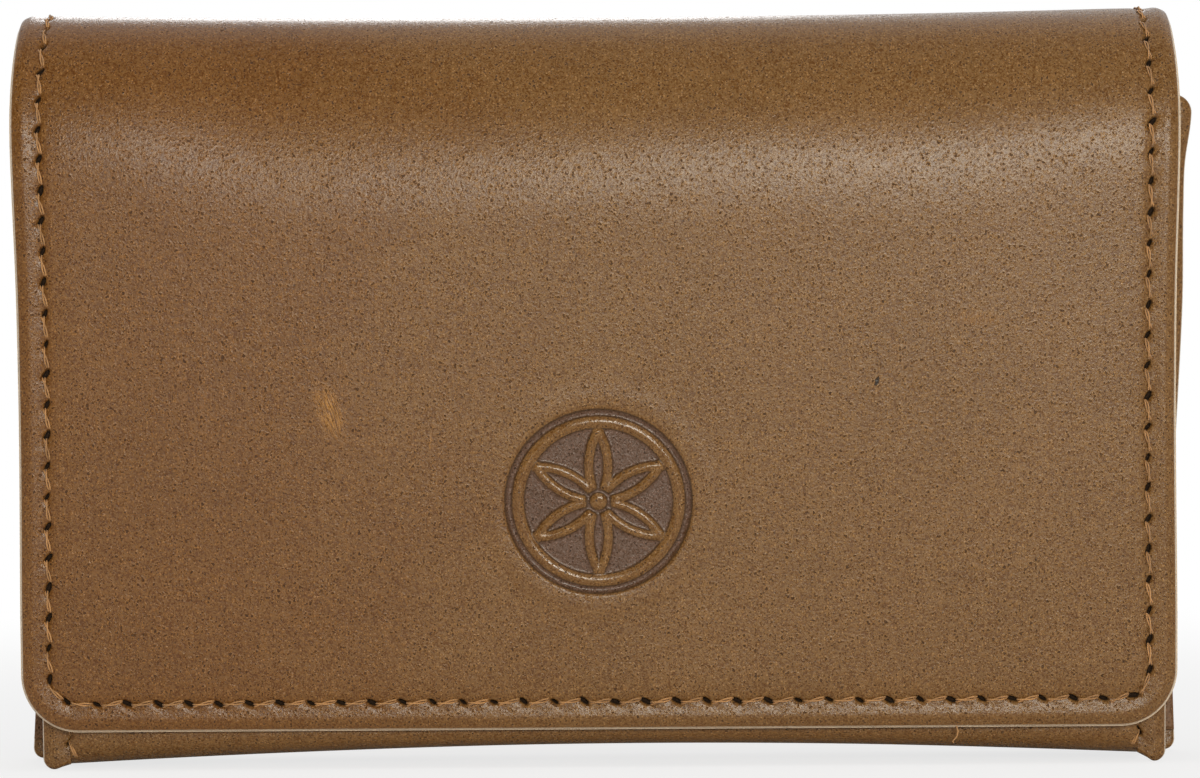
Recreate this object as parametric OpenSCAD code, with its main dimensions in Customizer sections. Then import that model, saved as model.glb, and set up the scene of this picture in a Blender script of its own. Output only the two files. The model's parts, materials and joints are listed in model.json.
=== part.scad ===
// Leather flap case: a soft leather pocket with V-fold side gussets, closed by
// a flap that bends over the top and is held shut by two hidden magnet pairs.
// Millimetres. +Z is up, the flap hangs on the -Y side, X runs along the width.
// The origin is on the ground under the middle of the case.

/* [Case] */
// Width of the back panel and of the cover where it bends over the top
body_w = 153; // [120:1:190]
// Width of the front wall, a little narrower than the back
front_w = 147; // [114:1:184]
// Height of the closed case
case_h = 99; // [80:1:130]
// Depth of the closed case over the bend
case_d = 35; // [30:1:50]
// Outward lean of the front and back walls
lean = 3.6; // [1:0.2:5]
// Inside height at which the front wall ends
mouth_h = 87; // [70:1:118]
// Radius of the wrap where it turns under the pocket
base_r = 4; // [4:0.5:8]
// Radius of the corners of the seam margins
ear_r = 2.5; // [1:0.5:3.5]

/* [Leather] */
// Thickness of the outer leather
leather_t = 1.4; // [1:0.1:2]
// Thickness of the lining leather in the pocket and cover
lining_t = 0.8; // [0.5:0.1:1.2]
// Thickness of the gusset leather
gusset_t = 1; // [0.8:0.1:1.4]
// Thickness of the gusset lining
gusset_lining_t = 0.5; // [0.4:0.1:0.8]
// Thickness of the stiffening boards
board_t = 1; // [0.8:0.1:1.6]
// Distance of the seams from the cut edges
seam_inset = 3.7; // [3:0.1:5]
// Width of the turned hem at the mouth of the front wall
hem_w = 8; // [6:0.5:12]
// Depth of the pressed channel that the stitches lie in
groove_depth = 0.25; // [0.1:0.05:0.4]
// Width of the pressed channel
groove_w = 1; // [0.6:0.1:1.4]

/* [Cover] */
// Outer radius of the bends at the front and the back of the top
bend_r = 16; // [14.5:0.5:17]
// Height of the flap's lower edge above the ground
flap_foot = 4.8; // [2:0.2:20]
// Width of the flap at its lower edge
flap_end_w = 150; // [110:1:186]
// Radius of the flap's lower corners
flap_corner_r = 5.5; // [3:0.5:15]
// Gap between the closed flap and the front wall
flap_gap = 0.5; // [0.3:0.1:1]
// Slit between the rigid halves of each living hinge
fold_slit = 0.3; // [0.2:0.05:0.5]
// Place of each living hinge round its bend, from the wall side
fold_angle = 45; // [35:1:55]

/* [Gussets] */
// How far the gusset's crease is pushed in at the mouth
crease_mouth = 10; // [4:0.5:16]
// How far the gusset's crease is pushed in at the base
crease_base = 3; // [1:0.5:6]
// Dip of the gusset's top edge below the mouth
gusset_dip = 3; // [1:0.5:6]
// Depth of the facing bands inside the mouth
facing_w = 12; // [8:1:20]

/* [Closure] */
// Diameter of the magnets and of the steel keepers
magnet_d = 14; // [10:1:18]
// Distance between the two magnets
magnet_pitch = 90; // [60:2:100]
// How far the magnets lie above the bevelled edge of the flap's board
magnet_rise = 2; // [1:1:12]
// Clearance round a disc in its board
disc_gap = 0.15; // [0.1:0.05:0.3]

/* [Hidden] */

// Layers, as depths from the outer skin
board_in = leather_t + board_t;
wall_t = board_in + lining_t;
cover_t = leather_t + lining_t;

// Bends of the cover, in the Y-Z plane
bend_z = case_h - bend_r;
front_bend = [-(case_d / 2 - bend_r), bend_z];
back_bend = [case_d / 2 - bend_r, bend_z];
slit_angle = (fold_slit / 2 / bend_r) * 180 / PI;
bend_steps = 10;

// Wall planes: both lean out by the same angle, and the flap hangs parallel to the front
wall_in = [cos(lean), sin(lean)];
front_up = [-sin(lean), cos(lean)];
back_in = [-cos(lean), sin(lean)];
back_up = [sin(lean), cos(lean)];
front_base = (bend_r - wall_t - flap_gap - front_bend * wall_in) / cos(lean);
back_base = (bend_r - back_bend * back_in) / cos(lean);
front_u = mouth_h / cos(lean);
back_u = (back_bend - [back_base, 0]) * back_up;
flap_start = front_bend - bend_r * wall_in;
flap_len = (flap_start[1] - flap_foot) / cos(lean);

// Base fillets, tangent to the walls and to the ground
base_run = base_r * (1 - sin(lean)) / cos(lean);
front_fillet = [-front_base + base_run, base_r];
back_fillet = [back_base - base_run, base_r];
fillet_steps = 6;

// Seams, and how far in the boards and the lining stay clear of the gussets
front_seam = front_w / 2 - seam_inset;
back_seam = body_w / 2 - seam_inset;
seam_mid = (front_seam + back_seam) / 2;
gusset_mid = leather_t + gusset_t / 2;
inside_half = (front_base + back_base) / 2 + mouth_h * tan(lean) - gusset_mid;
leaf_slope = (front_seam - seam_mid + crease_mouth) / inside_half;
leaf_clearance = 0.4;
panel = min(seam_mid - crease_base - gusset_t / 2 - gusset_lining_t,
    front_seam - leaf_slope * (wall_t - gusset_mid)
        - gusset_t / 2 * sqrt(1 + leaf_slope * leaf_slope)) - leaf_clearance;

board_margin = 1;
ear_top = 2 * base_r;
board_skive = 5;
pad_margin = seam_inset + 1.8;
pad_bevel = 2;
lip_margin = 0.3;
glue_gap = 0.05;
loft_levels = 6;
fold_soft = 1.6;
foot_w = 7;
disc_t = board_t;
disc_x = magnet_pitch / 2;
disc_v = flap_len - pad_margin - pad_bevel - magnet_rise - magnet_d / 2;
disc_u = (flap_start - [-front_base, 0]) * front_up - disc_v;

// ---------- points and paths ----------

function reversed(p) = [for (i = [len(p) - 1:-1:0]) p[i]];

function arc(centre, r, from, to, steps) =
    [for (i = [0:steps]) let (a = from + (to - from) * i / steps)
        centre + r * [cos(a), sin(a)]];

// Points in the front wall and the back wall: distance up, depth in from the outer skin
function front_at(u, d) = [-front_base, 0] + u * front_up + d * wall_in;
function back_at(u, d) = [back_base, 0] + u * back_up + d * back_in;
// The pocket's section at depth d: down the front wall, under the base, up the back
function pocket_path(d, front_top, back_top) = concat(
    [front_at(front_top, d)],
    arc(front_fillet, base_r - d, 180 + lean, 270, fillet_steps),
    arc(back_fillet, base_r - d, 270, 360 - lean, fillet_steps),
    [back_at(back_top, d)]);

// The bend above the back wall, up to its living hinge
function back_bend_path(d) =
    arc(back_bend, bend_r - d, -lean, fold_angle - slit_angle, bend_steps);

// The crown between the two living hinges
function crown_path(d) = concat(
    arc(back_bend, bend_r - d, fold_angle + slit_angle, 90, bend_steps),
    arc(front_bend, bend_r - d, 90, 180 - fold_angle - slit_angle, bend_steps));

// The bend above the flap, down from its living hinge, and on to the flap's foot
function flap_path(d) = concat(
    arc(front_bend, bend_r - d, 180 - fold_angle + slit_angle, 180 + lean, bend_steps),
    [front_bend - (bend_r - d) * wall_in - flap_len * front_up]);

// A closed ribbon between two paths
function ribbon(outer, inner) = concat(outer, reversed(inner));

// Outline of the flap in its own plane, inset from the cut edge
function flap_half(v) = body_w / 2 + (flap_end_w - body_w) / 2 * v / flap_len;

function flap_outline(inset, top) =
    let (r = max(flap_corner_r - inset, 0.4), foot = flap_len - inset,
        half = flap_half(foot) - inset)
    concat(
        [[flap_half(top) - inset, top]],
        arc([half - r, foot - r], r, 0, 90, fillet_steps),
        arc([-half + r, foot - r], r, 90, 180, fillet_steps),
        [[-flap_half(top) + inset, top]]);

// ---------- placing flat and bent pieces ----------

module across(from, to) {
    translate([from, 0, 0])
        rotate([90, 0, 90])
            linear_extrude(to - from)
                children();
}

module along_x(half) {
    across(-half, half)
        children();
}

module in_front_wall(from, to) {
    translate([0, -front_base, 0])
        rotate([90 + lean, 0, 0])
            translate([0, 0, -to])
                linear_extrude(to - from)
                    children();
}

module in_back_wall(from, to) {
    translate([0, back_base, 0])
        rotate([90 - lean, 0, 0])
            translate([0, 0, from])
                linear_extrude(to - from)
                    children();
}

module flap_plane(depth) {
    translate([0, flap_start[0], flap_start[1]])
        rotate([lean - 90, 0, 0])
            translate([0, 0, depth])
                children();
}

module in_flap(from, to) {
    flap_plane(from)
        linear_extrude(to - from)
            children();
}

module both_sides() {
    children();
    mirror([1, 0, 0])
        children();
}

// A closed solid through rings of points that match one to one. A cap is a strip
// between the ring's first half and its second half, met from both ends.
module loft(rings) {
    n = len(rings[0]);
    last = (len(rings) - 1) * n;
    polyhedron(
        points = [for (ring = rings) each ring],
        faces = concat(
            [for (i = [0:n / 2 - 2]) each [[i, i + 1, n - 2 - i], [i, n - 2 - i, n - 1 - i]]],
            [for (i = [0:n / 2 - 2]) each [[last + n - 2 - i, last + i + 1, last + i],
                [last + n - 1 - i, last + n - 2 - i, last + i]]],
            [for (k = [0:n:last - 1], i = [0:n - 1])
                each [[k + i, k + n + i, k + (i + 1) % n],
                    [k + (i + 1) % n, k + n + i, k + n + (i + 1) % n]]]));
}

// ---------- gusset sections ----------

// Depth of the walls' faces across Y at height z
function front_y(z, d) = -front_base - z * tan(lean) + d / cos(lean);
function back_y(z, d) = back_base + z * tan(lean) - d / cos(lean);
function middle_y(z) = (front_y(z, 0) + back_y(z, 0)) / 2;

// Where the crease runs: straight from the base to the mouth
function crease_x(z) = seam_mid - crease_base - (crease_mouth - crease_base) * z / mouth_h;

// A fold drawn as a curve between two straight runs that meet at b
function soft_fold(a, b, c) =
    let (from = b + fold_soft * (a - b) / norm(a - b),
        to = b + fold_soft * (c - b) / norm(c - b))
    [for (i = [0:4]) let (s = i / 4)
        (1 - s) * (1 - s) * from + 2 * s * (1 - s) * b + s * s * to];

// The straight run between two folds, without its ends
function run(a, b) =
    let (from = a + fold_soft * (b - a) / norm(b - a),
        to = b + fold_soft * (a - b) / norm(a - b))
    [for (i = [1:4]) from + (to - from) * i / 5];

// A lip's points, from its free edge in to the fold: closer together near the edge
function lip(edge, seam) =
    let (steps = 4) [for (i = [0:steps - 1])
        edge + (seam - edge) * (1 - fold_soft / norm(seam - edge)) * pow(i / steps, 2)];

// Middle of the gusset leather at height z, from the front lip to the back lip
function gusset_path(z) =
    let (d = gusset_mid,
        front_edge = [front_w / 2 - lip_margin, front_y(z, d)],
        front_turn = [front_seam, front_y(z, d)],
        crease = [crease_x(z), middle_y(z)],
        back_turn = [back_seam, back_y(z, d)],
        back_edge = [body_w / 2 - lip_margin, back_y(z, d)])
    concat(lip(front_edge, front_turn), soft_fold(front_edge, front_turn, crease),
        run(front_turn, crease), soft_fold(front_turn, crease, back_turn),
        run(crease, back_turn), soft_fold(crease, back_turn, back_edge),
        reversed(lip(back_edge, back_turn)));

// The part of it that the lining lies on, clear of both walls' linings
function leaf_path(z) =
    let (d = wall_t + gusset_t / 2 + gusset_lining_t,
        front_turn = [front_seam, front_y(z, gusset_mid)],
        crease = [crease_x(z), middle_y(z)],
        back_turn = [back_seam, back_y(z, gusset_mid)],
        from = (d - leather_t) / (crease[1] - front_turn[1]),
        front_start = front_turn + from * (crease - front_turn),
        back_start = back_turn + from * (crease - back_turn))
    concat([front_start], run(front_start, crease), soft_fold(front_start, crease, back_start),
        run(crease, back_start), [back_start]);

function sideways(p, i) =
    let (t = p[min(i + 1, len(p) - 1)] - p[max(i - 1, 0)])
    [-t[1], t[0]] / norm(t);

// One point of a path after it has been moved sideways, at height z
function beside(p, i, d, z) = let (q = p[i] + d * sideways(p, i)) [q[0], q[1], z];

// Heights between two edges of a sheet, level by level
function levels(feet, tops) =
    [for (k = [0:loft_levels]) feet + (tops - feet) * k / loft_levels];

// Height of the wrap's inner face at depth d under a point that far across Y
function floor_z(y, d) =
    let (off = max(0, front_fillet[0] - y, y - back_fillet[0]))
    base_r - sqrt(max(0, pow(base_r - d, 2) - off * off));

// Height of a lip's rounded corner, as far out as x
function lip_z(x, half) =
    ear_r - sqrt(max(0, pow(ear_r - lip_margin, 2) - pow(max(0, x - half + ear_r), 2)));

// Lower and upper edge of the gusset leather at one point of its path
function gusset_foot_z(q) =
    let (front = q[1] < middle_y(0))
    q[0] > (front ? front_seam : back_seam) + gusset_t
        ? lip_z(q[0], front ? front_w / 2 : body_w / 2)
        : floor_z(q[1], leather_t);

// The top edge dips between the mouth and the start of the bend in the back wall
function dip_z(y) =
    let (t = (y - middle_y(mouth_h)) / inside_half, back_top = min(mouth_h, back_at(back_u, 0)[1]))
    (mouth_h + back_top) / 2 + t * (back_top - mouth_h) / 2 - gusset_dip * (1 - t * t);

function gusset_top_z(q) =
    q[0] > front_seam && q[1] < middle_y(0) ? mouth_h - lip_z(q[0], front_w / 2)
        : min(dip_z(q[1]), mouth_h - lip_margin);

// ---------- the leather wrap: front wall, base, back wall and first bend ----------

// Front wall, base and the lower back wall, as one bent band between the seams
module wrap_band() {
    along_x(front_seam)
        polygon(ribbon(pocket_path(0, front_u, ear_top), pocket_path(leather_t, front_u, ear_top)));
}

// The rest of the back wall with the first half of the bend
module wrap_back() {
    along_x(body_w / 2)
        polygon(ribbon(concat([back_at(ear_top, 0)], back_bend_path(0)),
            concat([back_at(ear_top, leather_t)], back_bend_path(leather_t))));
}

// The turned edge at the mouth, skived to the thickness of the board below it
module mouth_hem() {
    in_front_wall(leather_t, board_in)
        translate([-panel, front_u - hem_w])
            square([2 * panel, hem_w]);
}

// The flat margins beside the seams, which keep to the wall's plane down to the ground
module front_ear() {
    across(front_seam, front_w / 2)
        polygon([front_at(0, 0), front_at(front_u, 0),
            front_at(front_u, leather_t), front_at(0, leather_t)]);
}

module back_ear() {
    across(front_seam, body_w / 2)
        polygon([back_at(0, 0), back_at(ear_top, 0),
            back_at(ear_top, leather_t), back_at(0, leather_t)]);
}

// What is trimmed off to round a corner whose edges meet at the origin
module corner_trim() {
    difference() {
        translate([-ear_r, -1])
            square(ear_r + 1);
        translate([-ear_r, ear_r])
            circle(r = ear_r, $fn = 64);
    }
}

module ear_corners() {
    in_front_wall(-1, leather_t + 1) {
        translate([front_w / 2, 0])
            corner_trim();
        translate([front_w / 2, front_u])
            mirror([0, 1])
                corner_trim();
    }
    in_back_wall(-1, leather_t + 1)
        translate([body_w / 2, 0])
            corner_trim();
}

module seam_grooves() {
    in_front_wall(-1, groove_depth)
        translate([front_seam - groove_w / 2, ear_r])
            square([groove_w, front_u - 2 * ear_r]);
    edge_groove(concat([back_at(ear_r, -1)], back_bend_path(-1)),
        concat([back_at(ear_r, groove_depth)], back_bend_path(groove_depth)));
}

module outer_wrap() {
    color("peru")
        difference() {
            union() {
                wrap_band();
                wrap_back();
                mouth_hem();
                both_sides() {
                    front_ear();
                    back_ear();
                }
            }
            both_sides() {
                ear_corners();
                seam_grooves();
            }
        }
}

// ---------- gussets, their linings and facings ----------

// A sheet of gusset that follows a path, between two functions of height
module gusset_leather() {
    low = gusset_path(0);
    high = gusset_path(mouth_h);
    n = len(low);
    feet = [for (q = low) gusset_foot_z(q)];
    tops = [for (q = high) gusset_top_z(q)];
    loft([for (z = levels(feet, tops)) concat(
        [for (i = [0:n - 1]) beside(gusset_path(z[i]), i, -gusset_t / 2, z[i])],
        [for (i = [n - 1:-1:0]) beside(gusset_path(z[i]), i, gusset_t / 2, z[i])])]);
}

// The tab that is glued to the base under the lining
module gusset_foot() {
    translate([crease_x(0) - foot_w, front_fillet[0], leather_t])
        cube([foot_w, back_fillet[0] - front_fillet[0], min(gusset_t, board_t)]);
}

module gusset() {
    gusset_leather();
    gusset_foot();
}

module right_gusset() {
    color("sienna")
        gusset();
}

module left_gusset() {
    color("sienna")
        mirror([1, 0, 0])
            gusset();
}

// A skin on the inside of the leaves, from the floor or from a height up to another
module gusset_skin(from_floor, high) {
    inner = gusset_t / 2 + gusset_lining_t;
    n = len(leaf_path(0));
    feet = [for (q = leaf_path(0)) from_floor ? floor_z(q[1], board_in) : mouth_h - facing_w];
    tops = [for (q = leaf_path(high)) min(high, dip_z(q[1]))];
    loft([for (z = levels(feet, tops)) concat(
        [for (i = [0:n - 1]) beside(leaf_path(z[i]), i, gusset_t / 2 + glue_gap, z[i])],
        [for (i = [n - 1:-1:0]) beside(leaf_path(z[i]), i, inner, z[i])])]);
}

module right_gusset_lining() {
    color("tan")
        gusset_skin(true, mouth_h - facing_w);
}

module left_gusset_lining() {
    color("tan")
        mirror([1, 0, 0])
            gusset_skin(true, mouth_h - facing_w);
}

module right_gusset_facing() {
    color("chocolate")
        gusset_skin(false, mouth_h);
}

module left_gusset_facing() {
    color("chocolate")
        mirror([1, 0, 0])
            gusset_skin(false, mouth_h);
}

// ---------- pocket lining, facings and boards ----------

module pocket_lining() {
    top = front_u - facing_w;
    color("tan")
        along_x(panel)
            polygon(ribbon(pocket_path(board_in, top, top),
                pocket_path(wall_t, top, top)));
}

module front_facing() {
    color("chocolate")
        in_front_wall(board_in, wall_t)
            translate([-panel, front_u - facing_w])
                square([2 * panel, facing_w]);
}

// The cover's lining comes down inside the back wall to meet the pocket lining
module back_facing() {
    step = front_u - facing_w;
    ramp = back_u - board_skive;
    color("chocolate")
        intersection() {
            along_x(body_w / 2)
                polygon(ribbon(
                    concat([back_at(step, board_in), back_at(ramp, board_in)],
                        back_bend_path(leather_t)),
                    concat([back_at(step, wall_t), back_at(ramp, wall_t)],
                        back_bend_path(cover_t))));
            union() {
                in_back_wall(0, case_d)
                    translate([-panel, 0])
                        square([2 * panel, case_h * 2]);
                translate([-body_w, -case_d, mouth_h + lip_margin])
                    cube([body_w * 2, case_d * 2, case_h]);
            }
        }
}

module wall_board(top) {
    translate([-panel + board_margin, base_r + board_margin])
        square([2 * (panel - board_margin), top - base_r - board_margin]);
}

module front_board() {
    color("burlywood")
        in_front_wall(leather_t, board_in)
            difference() {
                wall_board(front_u - hem_w);
                both_sides()
                    translate([disc_x, disc_u])
                        circle(d = magnet_d + 2 * disc_gap, $fn = 64);
            }
}

// The back board's top is skived so that the lining ramps down to the leather
module back_board() {
    from = base_r + board_margin;
    ramp = back_u - board_skive;
    color("burlywood")
        along_x(panel - board_margin)
            polygon([back_at(from, leather_t), back_at(back_u, leather_t),
                back_at(ramp, board_in), back_at(from, board_in)]);
}

module base_board() {
    half = crease_x(0) - foot_w - board_margin;
    color("burlywood")
        translate([-half, front_fillet[0], leather_t])
            cube([2 * half, back_fillet[0] - front_fillet[0], board_t]);
}

// ---------- magnets and keepers ----------

module keeper(side) {
    in_front_wall(leather_t, board_in)
        translate([side * disc_x, disc_u])
            circle(d = magnet_d, $fn = 64);
}

module left_keeper() {
    color("silver")
        keeper(-1);
}

module right_keeper() {
    color("silver")
        keeper(1);
}

module magnet(side) {
    in_flap(leather_t, leather_t + disc_t)
        translate([side * disc_x, disc_v])
            circle(d = magnet_d, $fn = 64);
}

module left_magnet() {
    color("lightgray")
        magnet(-1);
}

module right_magnet() {
    color("lightgray")
        magnet(1);
}

// ---------- crown: the strip between the two living hinges ----------

module edge_groove(outer, inner) {
    across(back_seam - groove_w / 2, back_seam + groove_w / 2)
        polygon(ribbon(outer, inner));
}

module crown_leather() {
    color("peru")
        difference() {
            along_x(body_w / 2)
                polygon(ribbon(crown_path(0), crown_path(leather_t)));
            both_sides()
                edge_groove(crown_path(-1), crown_path(groove_depth));
        }
}

module crown_lining() {
    color("chocolate")
        along_x(body_w / 2)
            polygon(ribbon(crown_path(leather_t), crown_path(cover_t)));
}

// ---------- flap ----------

// The stitch channel: down both sides and along the foot
module flap_groove() {
    in_flap(-1, groove_depth)
        difference() {
            polygon(flap_outline(seam_inset - groove_w / 2, 0));
            polygon(flap_outline(seam_inset + groove_w / 2, -1));
        }
}

// All that lies inside the flap's cut edge, from well above its bend
module flap_blank() {
    in_flap(-case_d, case_d)
        polygon(flap_outline(0, -case_d));
}

module flap_layer(from, to) {
    intersection() {
        along_x(body_w / 2)
            polygon(ribbon(flap_path(from), flap_path(to)));
        flap_blank();
    }
}

module flap_leather() {
    color("peru")
        difference() {
            flap_layer(0, leather_t);
            flap_groove();
        }
}

// A plate on the flap with bevelled edges. Its lower outline lies at the depth base.
module flap_pad(base, from, to) {
    flap_plane(0)
        loft([for (depth = [from, to]) let (inset = pad_margin + pad_bevel * (depth - base))
            [for (p = flap_outline(inset, inset)) [p[0], p[1], depth]]]);
}

module flap_lining() {
    color("chocolate")
        difference() {
            union() {
                flap_layer(leather_t, cover_t);
                flap_pad(cover_t, cover_t - lining_t / 2, wall_t);
            }
            flap_pad(leather_t, leather_t - lining_t / 2, board_in);
        }
}

module flap_board() {
    color("burlywood")
        difference() {
            flap_pad(leather_t, leather_t, board_in);
            in_flap(leather_t - 1, board_in + 1)
                both_sides()
                    translate([disc_x, disc_v])
                        circle(d = magnet_d + 2 * disc_gap, $fn = 64);
        }
}

outer_wrap();
left_gusset();
right_gusset();
pocket_lining();
left_gusset_lining();
right_gusset_lining();
left_gusset_facing();
right_gusset_facing();
front_facing();
back_facing();
front_board();
back_board();
base_board();
left_keeper();
right_keeper();
crown_leather();
crown_lining();
flap_leather();
flap_lining();
flap_board();
left_magnet();
right_magnet();
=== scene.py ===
"""A leather flap case with V-fold side gussets: cover, walls, gussets, linings and stitching."""

import json
import math
from functools import partial

import bmesh
import bpy
import numpy as np
from bpy.props import FloatProperty, FloatVectorProperty, IntProperty, PointerProperty
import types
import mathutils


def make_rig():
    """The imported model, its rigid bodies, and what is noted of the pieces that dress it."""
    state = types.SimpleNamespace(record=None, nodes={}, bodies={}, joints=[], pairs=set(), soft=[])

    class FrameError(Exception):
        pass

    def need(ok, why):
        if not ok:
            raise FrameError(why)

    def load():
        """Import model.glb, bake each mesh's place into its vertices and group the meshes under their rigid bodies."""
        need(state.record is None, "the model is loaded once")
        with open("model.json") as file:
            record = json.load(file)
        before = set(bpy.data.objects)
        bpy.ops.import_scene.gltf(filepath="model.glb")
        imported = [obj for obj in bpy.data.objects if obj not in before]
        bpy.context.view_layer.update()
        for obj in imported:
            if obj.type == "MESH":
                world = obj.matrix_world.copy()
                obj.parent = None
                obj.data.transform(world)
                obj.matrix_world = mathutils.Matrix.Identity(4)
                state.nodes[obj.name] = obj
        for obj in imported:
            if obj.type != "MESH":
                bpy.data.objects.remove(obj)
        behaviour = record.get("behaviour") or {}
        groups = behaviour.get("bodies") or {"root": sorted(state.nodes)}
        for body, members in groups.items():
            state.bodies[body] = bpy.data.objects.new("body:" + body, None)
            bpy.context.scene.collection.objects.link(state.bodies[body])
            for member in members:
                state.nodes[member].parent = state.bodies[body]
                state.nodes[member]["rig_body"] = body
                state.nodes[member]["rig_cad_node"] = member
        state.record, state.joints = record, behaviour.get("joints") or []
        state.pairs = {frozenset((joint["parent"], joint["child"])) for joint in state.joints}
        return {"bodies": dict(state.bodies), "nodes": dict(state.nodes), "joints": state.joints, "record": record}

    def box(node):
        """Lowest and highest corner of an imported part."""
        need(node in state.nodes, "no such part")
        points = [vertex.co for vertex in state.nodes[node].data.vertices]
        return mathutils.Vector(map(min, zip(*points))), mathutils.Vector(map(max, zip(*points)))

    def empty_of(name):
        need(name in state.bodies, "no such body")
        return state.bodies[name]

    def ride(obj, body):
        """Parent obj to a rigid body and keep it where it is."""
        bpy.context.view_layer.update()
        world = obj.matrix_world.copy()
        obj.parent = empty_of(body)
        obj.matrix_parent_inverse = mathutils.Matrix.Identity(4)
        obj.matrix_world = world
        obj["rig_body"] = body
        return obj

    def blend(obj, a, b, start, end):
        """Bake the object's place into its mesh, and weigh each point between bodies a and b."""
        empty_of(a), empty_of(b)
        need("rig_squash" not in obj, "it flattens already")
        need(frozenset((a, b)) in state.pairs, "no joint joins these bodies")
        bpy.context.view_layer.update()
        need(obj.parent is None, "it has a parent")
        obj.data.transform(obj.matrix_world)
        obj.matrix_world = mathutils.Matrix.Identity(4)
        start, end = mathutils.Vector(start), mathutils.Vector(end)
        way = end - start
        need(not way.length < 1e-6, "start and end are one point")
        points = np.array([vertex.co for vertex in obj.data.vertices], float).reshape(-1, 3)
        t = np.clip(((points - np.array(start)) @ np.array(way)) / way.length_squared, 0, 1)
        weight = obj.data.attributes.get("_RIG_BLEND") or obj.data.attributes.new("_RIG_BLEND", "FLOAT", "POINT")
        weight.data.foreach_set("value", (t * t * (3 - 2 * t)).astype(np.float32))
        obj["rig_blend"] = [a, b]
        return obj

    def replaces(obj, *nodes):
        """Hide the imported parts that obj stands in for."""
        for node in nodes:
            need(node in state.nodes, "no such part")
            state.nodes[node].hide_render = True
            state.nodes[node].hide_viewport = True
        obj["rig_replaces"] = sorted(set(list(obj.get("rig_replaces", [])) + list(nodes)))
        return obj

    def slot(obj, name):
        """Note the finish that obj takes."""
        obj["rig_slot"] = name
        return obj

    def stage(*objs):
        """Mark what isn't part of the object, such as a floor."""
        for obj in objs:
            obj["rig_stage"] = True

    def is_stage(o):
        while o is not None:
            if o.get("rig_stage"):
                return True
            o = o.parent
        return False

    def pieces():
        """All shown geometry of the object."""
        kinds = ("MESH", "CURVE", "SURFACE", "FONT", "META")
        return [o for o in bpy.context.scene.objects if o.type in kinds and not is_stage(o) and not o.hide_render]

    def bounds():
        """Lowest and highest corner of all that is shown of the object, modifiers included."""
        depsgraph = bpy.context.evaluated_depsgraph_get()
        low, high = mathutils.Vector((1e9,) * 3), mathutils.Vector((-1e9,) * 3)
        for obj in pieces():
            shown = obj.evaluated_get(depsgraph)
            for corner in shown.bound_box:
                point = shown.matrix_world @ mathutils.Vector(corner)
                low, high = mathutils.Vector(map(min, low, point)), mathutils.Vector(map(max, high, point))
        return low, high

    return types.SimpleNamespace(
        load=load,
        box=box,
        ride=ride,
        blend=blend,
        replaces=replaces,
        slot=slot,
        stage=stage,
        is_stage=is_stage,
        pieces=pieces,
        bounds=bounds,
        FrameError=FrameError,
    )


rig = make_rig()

bl_info = {
    "name": "Leather flap case",
    "version": (1, 0, 0),
    "blender": (4, 5, 0),
    "location": "3D View > Sidebar > Flap case",
    "description": "A leather flap case: cover, walls, gussets, linings and stitching",
    "category": "Object",
}

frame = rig.load()
CAD_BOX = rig.bounds()

MM = 0.001
HALF_WIDTH = CAD_BOX[1].x / MM
HALF_DEPTH = CAD_BOX[1].y / MM
TOP = CAD_BOX[1].z / MM
HINGES = {joint["name"]: joint["pos_m"] for joint in frame["joints"]}
HINGE_ANGLE = math.radians(45)
BEND_R = (HALF_DEPTH - HINGES["top_fold"][1] / MM) / (1 - math.cos(HINGE_ANGLE))
BEND_Y = HALF_DEPTH - BEND_R
BEND_Z = TOP - BEND_R
FLAP_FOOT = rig.box("flap_leather")[0].z / MM
GUSSET_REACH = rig.box("right_gusset")[0].x / MM


# ---------- sizes and colours ----------


def linear(red, green, blue):
    """A colour given in display values from 0 to 255, in linear values."""
    values = np.array((red, green, blue)) / 255
    return tuple(np.where(values < 0.04045, values / 12.92, ((values + 0.055) / 1.055) ** 2.4))


def number(name, value, description, **kind):
    """A property that holds a number. Its name, value and description come first everywhere."""
    return FloatProperty(name=name, description=description, default=value, **kind)


def length(name, value, description):
    return number(name, value * MM, description, min=0, unit="LENGTH", precision=5)


def angle(name, value, description):
    return number(name, math.radians(value), description, subtype="ANGLE")


def colour(name, value, description):
    kind = {"min": 0, "max": 1, "subtype": "COLOR"}
    return FloatVectorProperty(
        name=name, description=description, default=linear(*value), **kind
    )


class CaseSizes(bpy.types.PropertyGroup):
    """Sizes of the case's leather and walls."""

    lean: angle("Lean", 3.6, "Outward lean of the front and back walls")
    leather: length("Leather", 1.4, "Thickness of the outer leather")
    lining: length("Lining", 0.8, "Thickness of the lining leather")
    gusset: length("Gusset leather", 1.0, "Thickness of the gusset leather")
    board: length("Board", 1.0, "Thickness of the stiffening boards")
    front_width: length("Front width", 147, "Width of the front wall at its seams' margins")
    mouth: length("Mouth height", 87, "Height of the front wall's turned mouth")
    inset: length("Seam inset", 3.85, "Distance of the seams from the cut edges")
    flap_corner: length("Flap corner", 7.6, "Radius of the flap's lower corners")
    ear_corner: length("Margin corner", 2.5, "Radius of the corners of the seam margins")
    base_r: length("Base radius", 4, "Radius of the leather where it turns under the base")
    base_lift: length("Base lift", 1.8, "How far the middle of the base arches up")
    crown_dip: length("Crown dip", 0.75, "How far the middle of the crown sinks")
    rosette: length("Rosette", 25.1, "Diameter of the stamped rosette on the flap")


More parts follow.
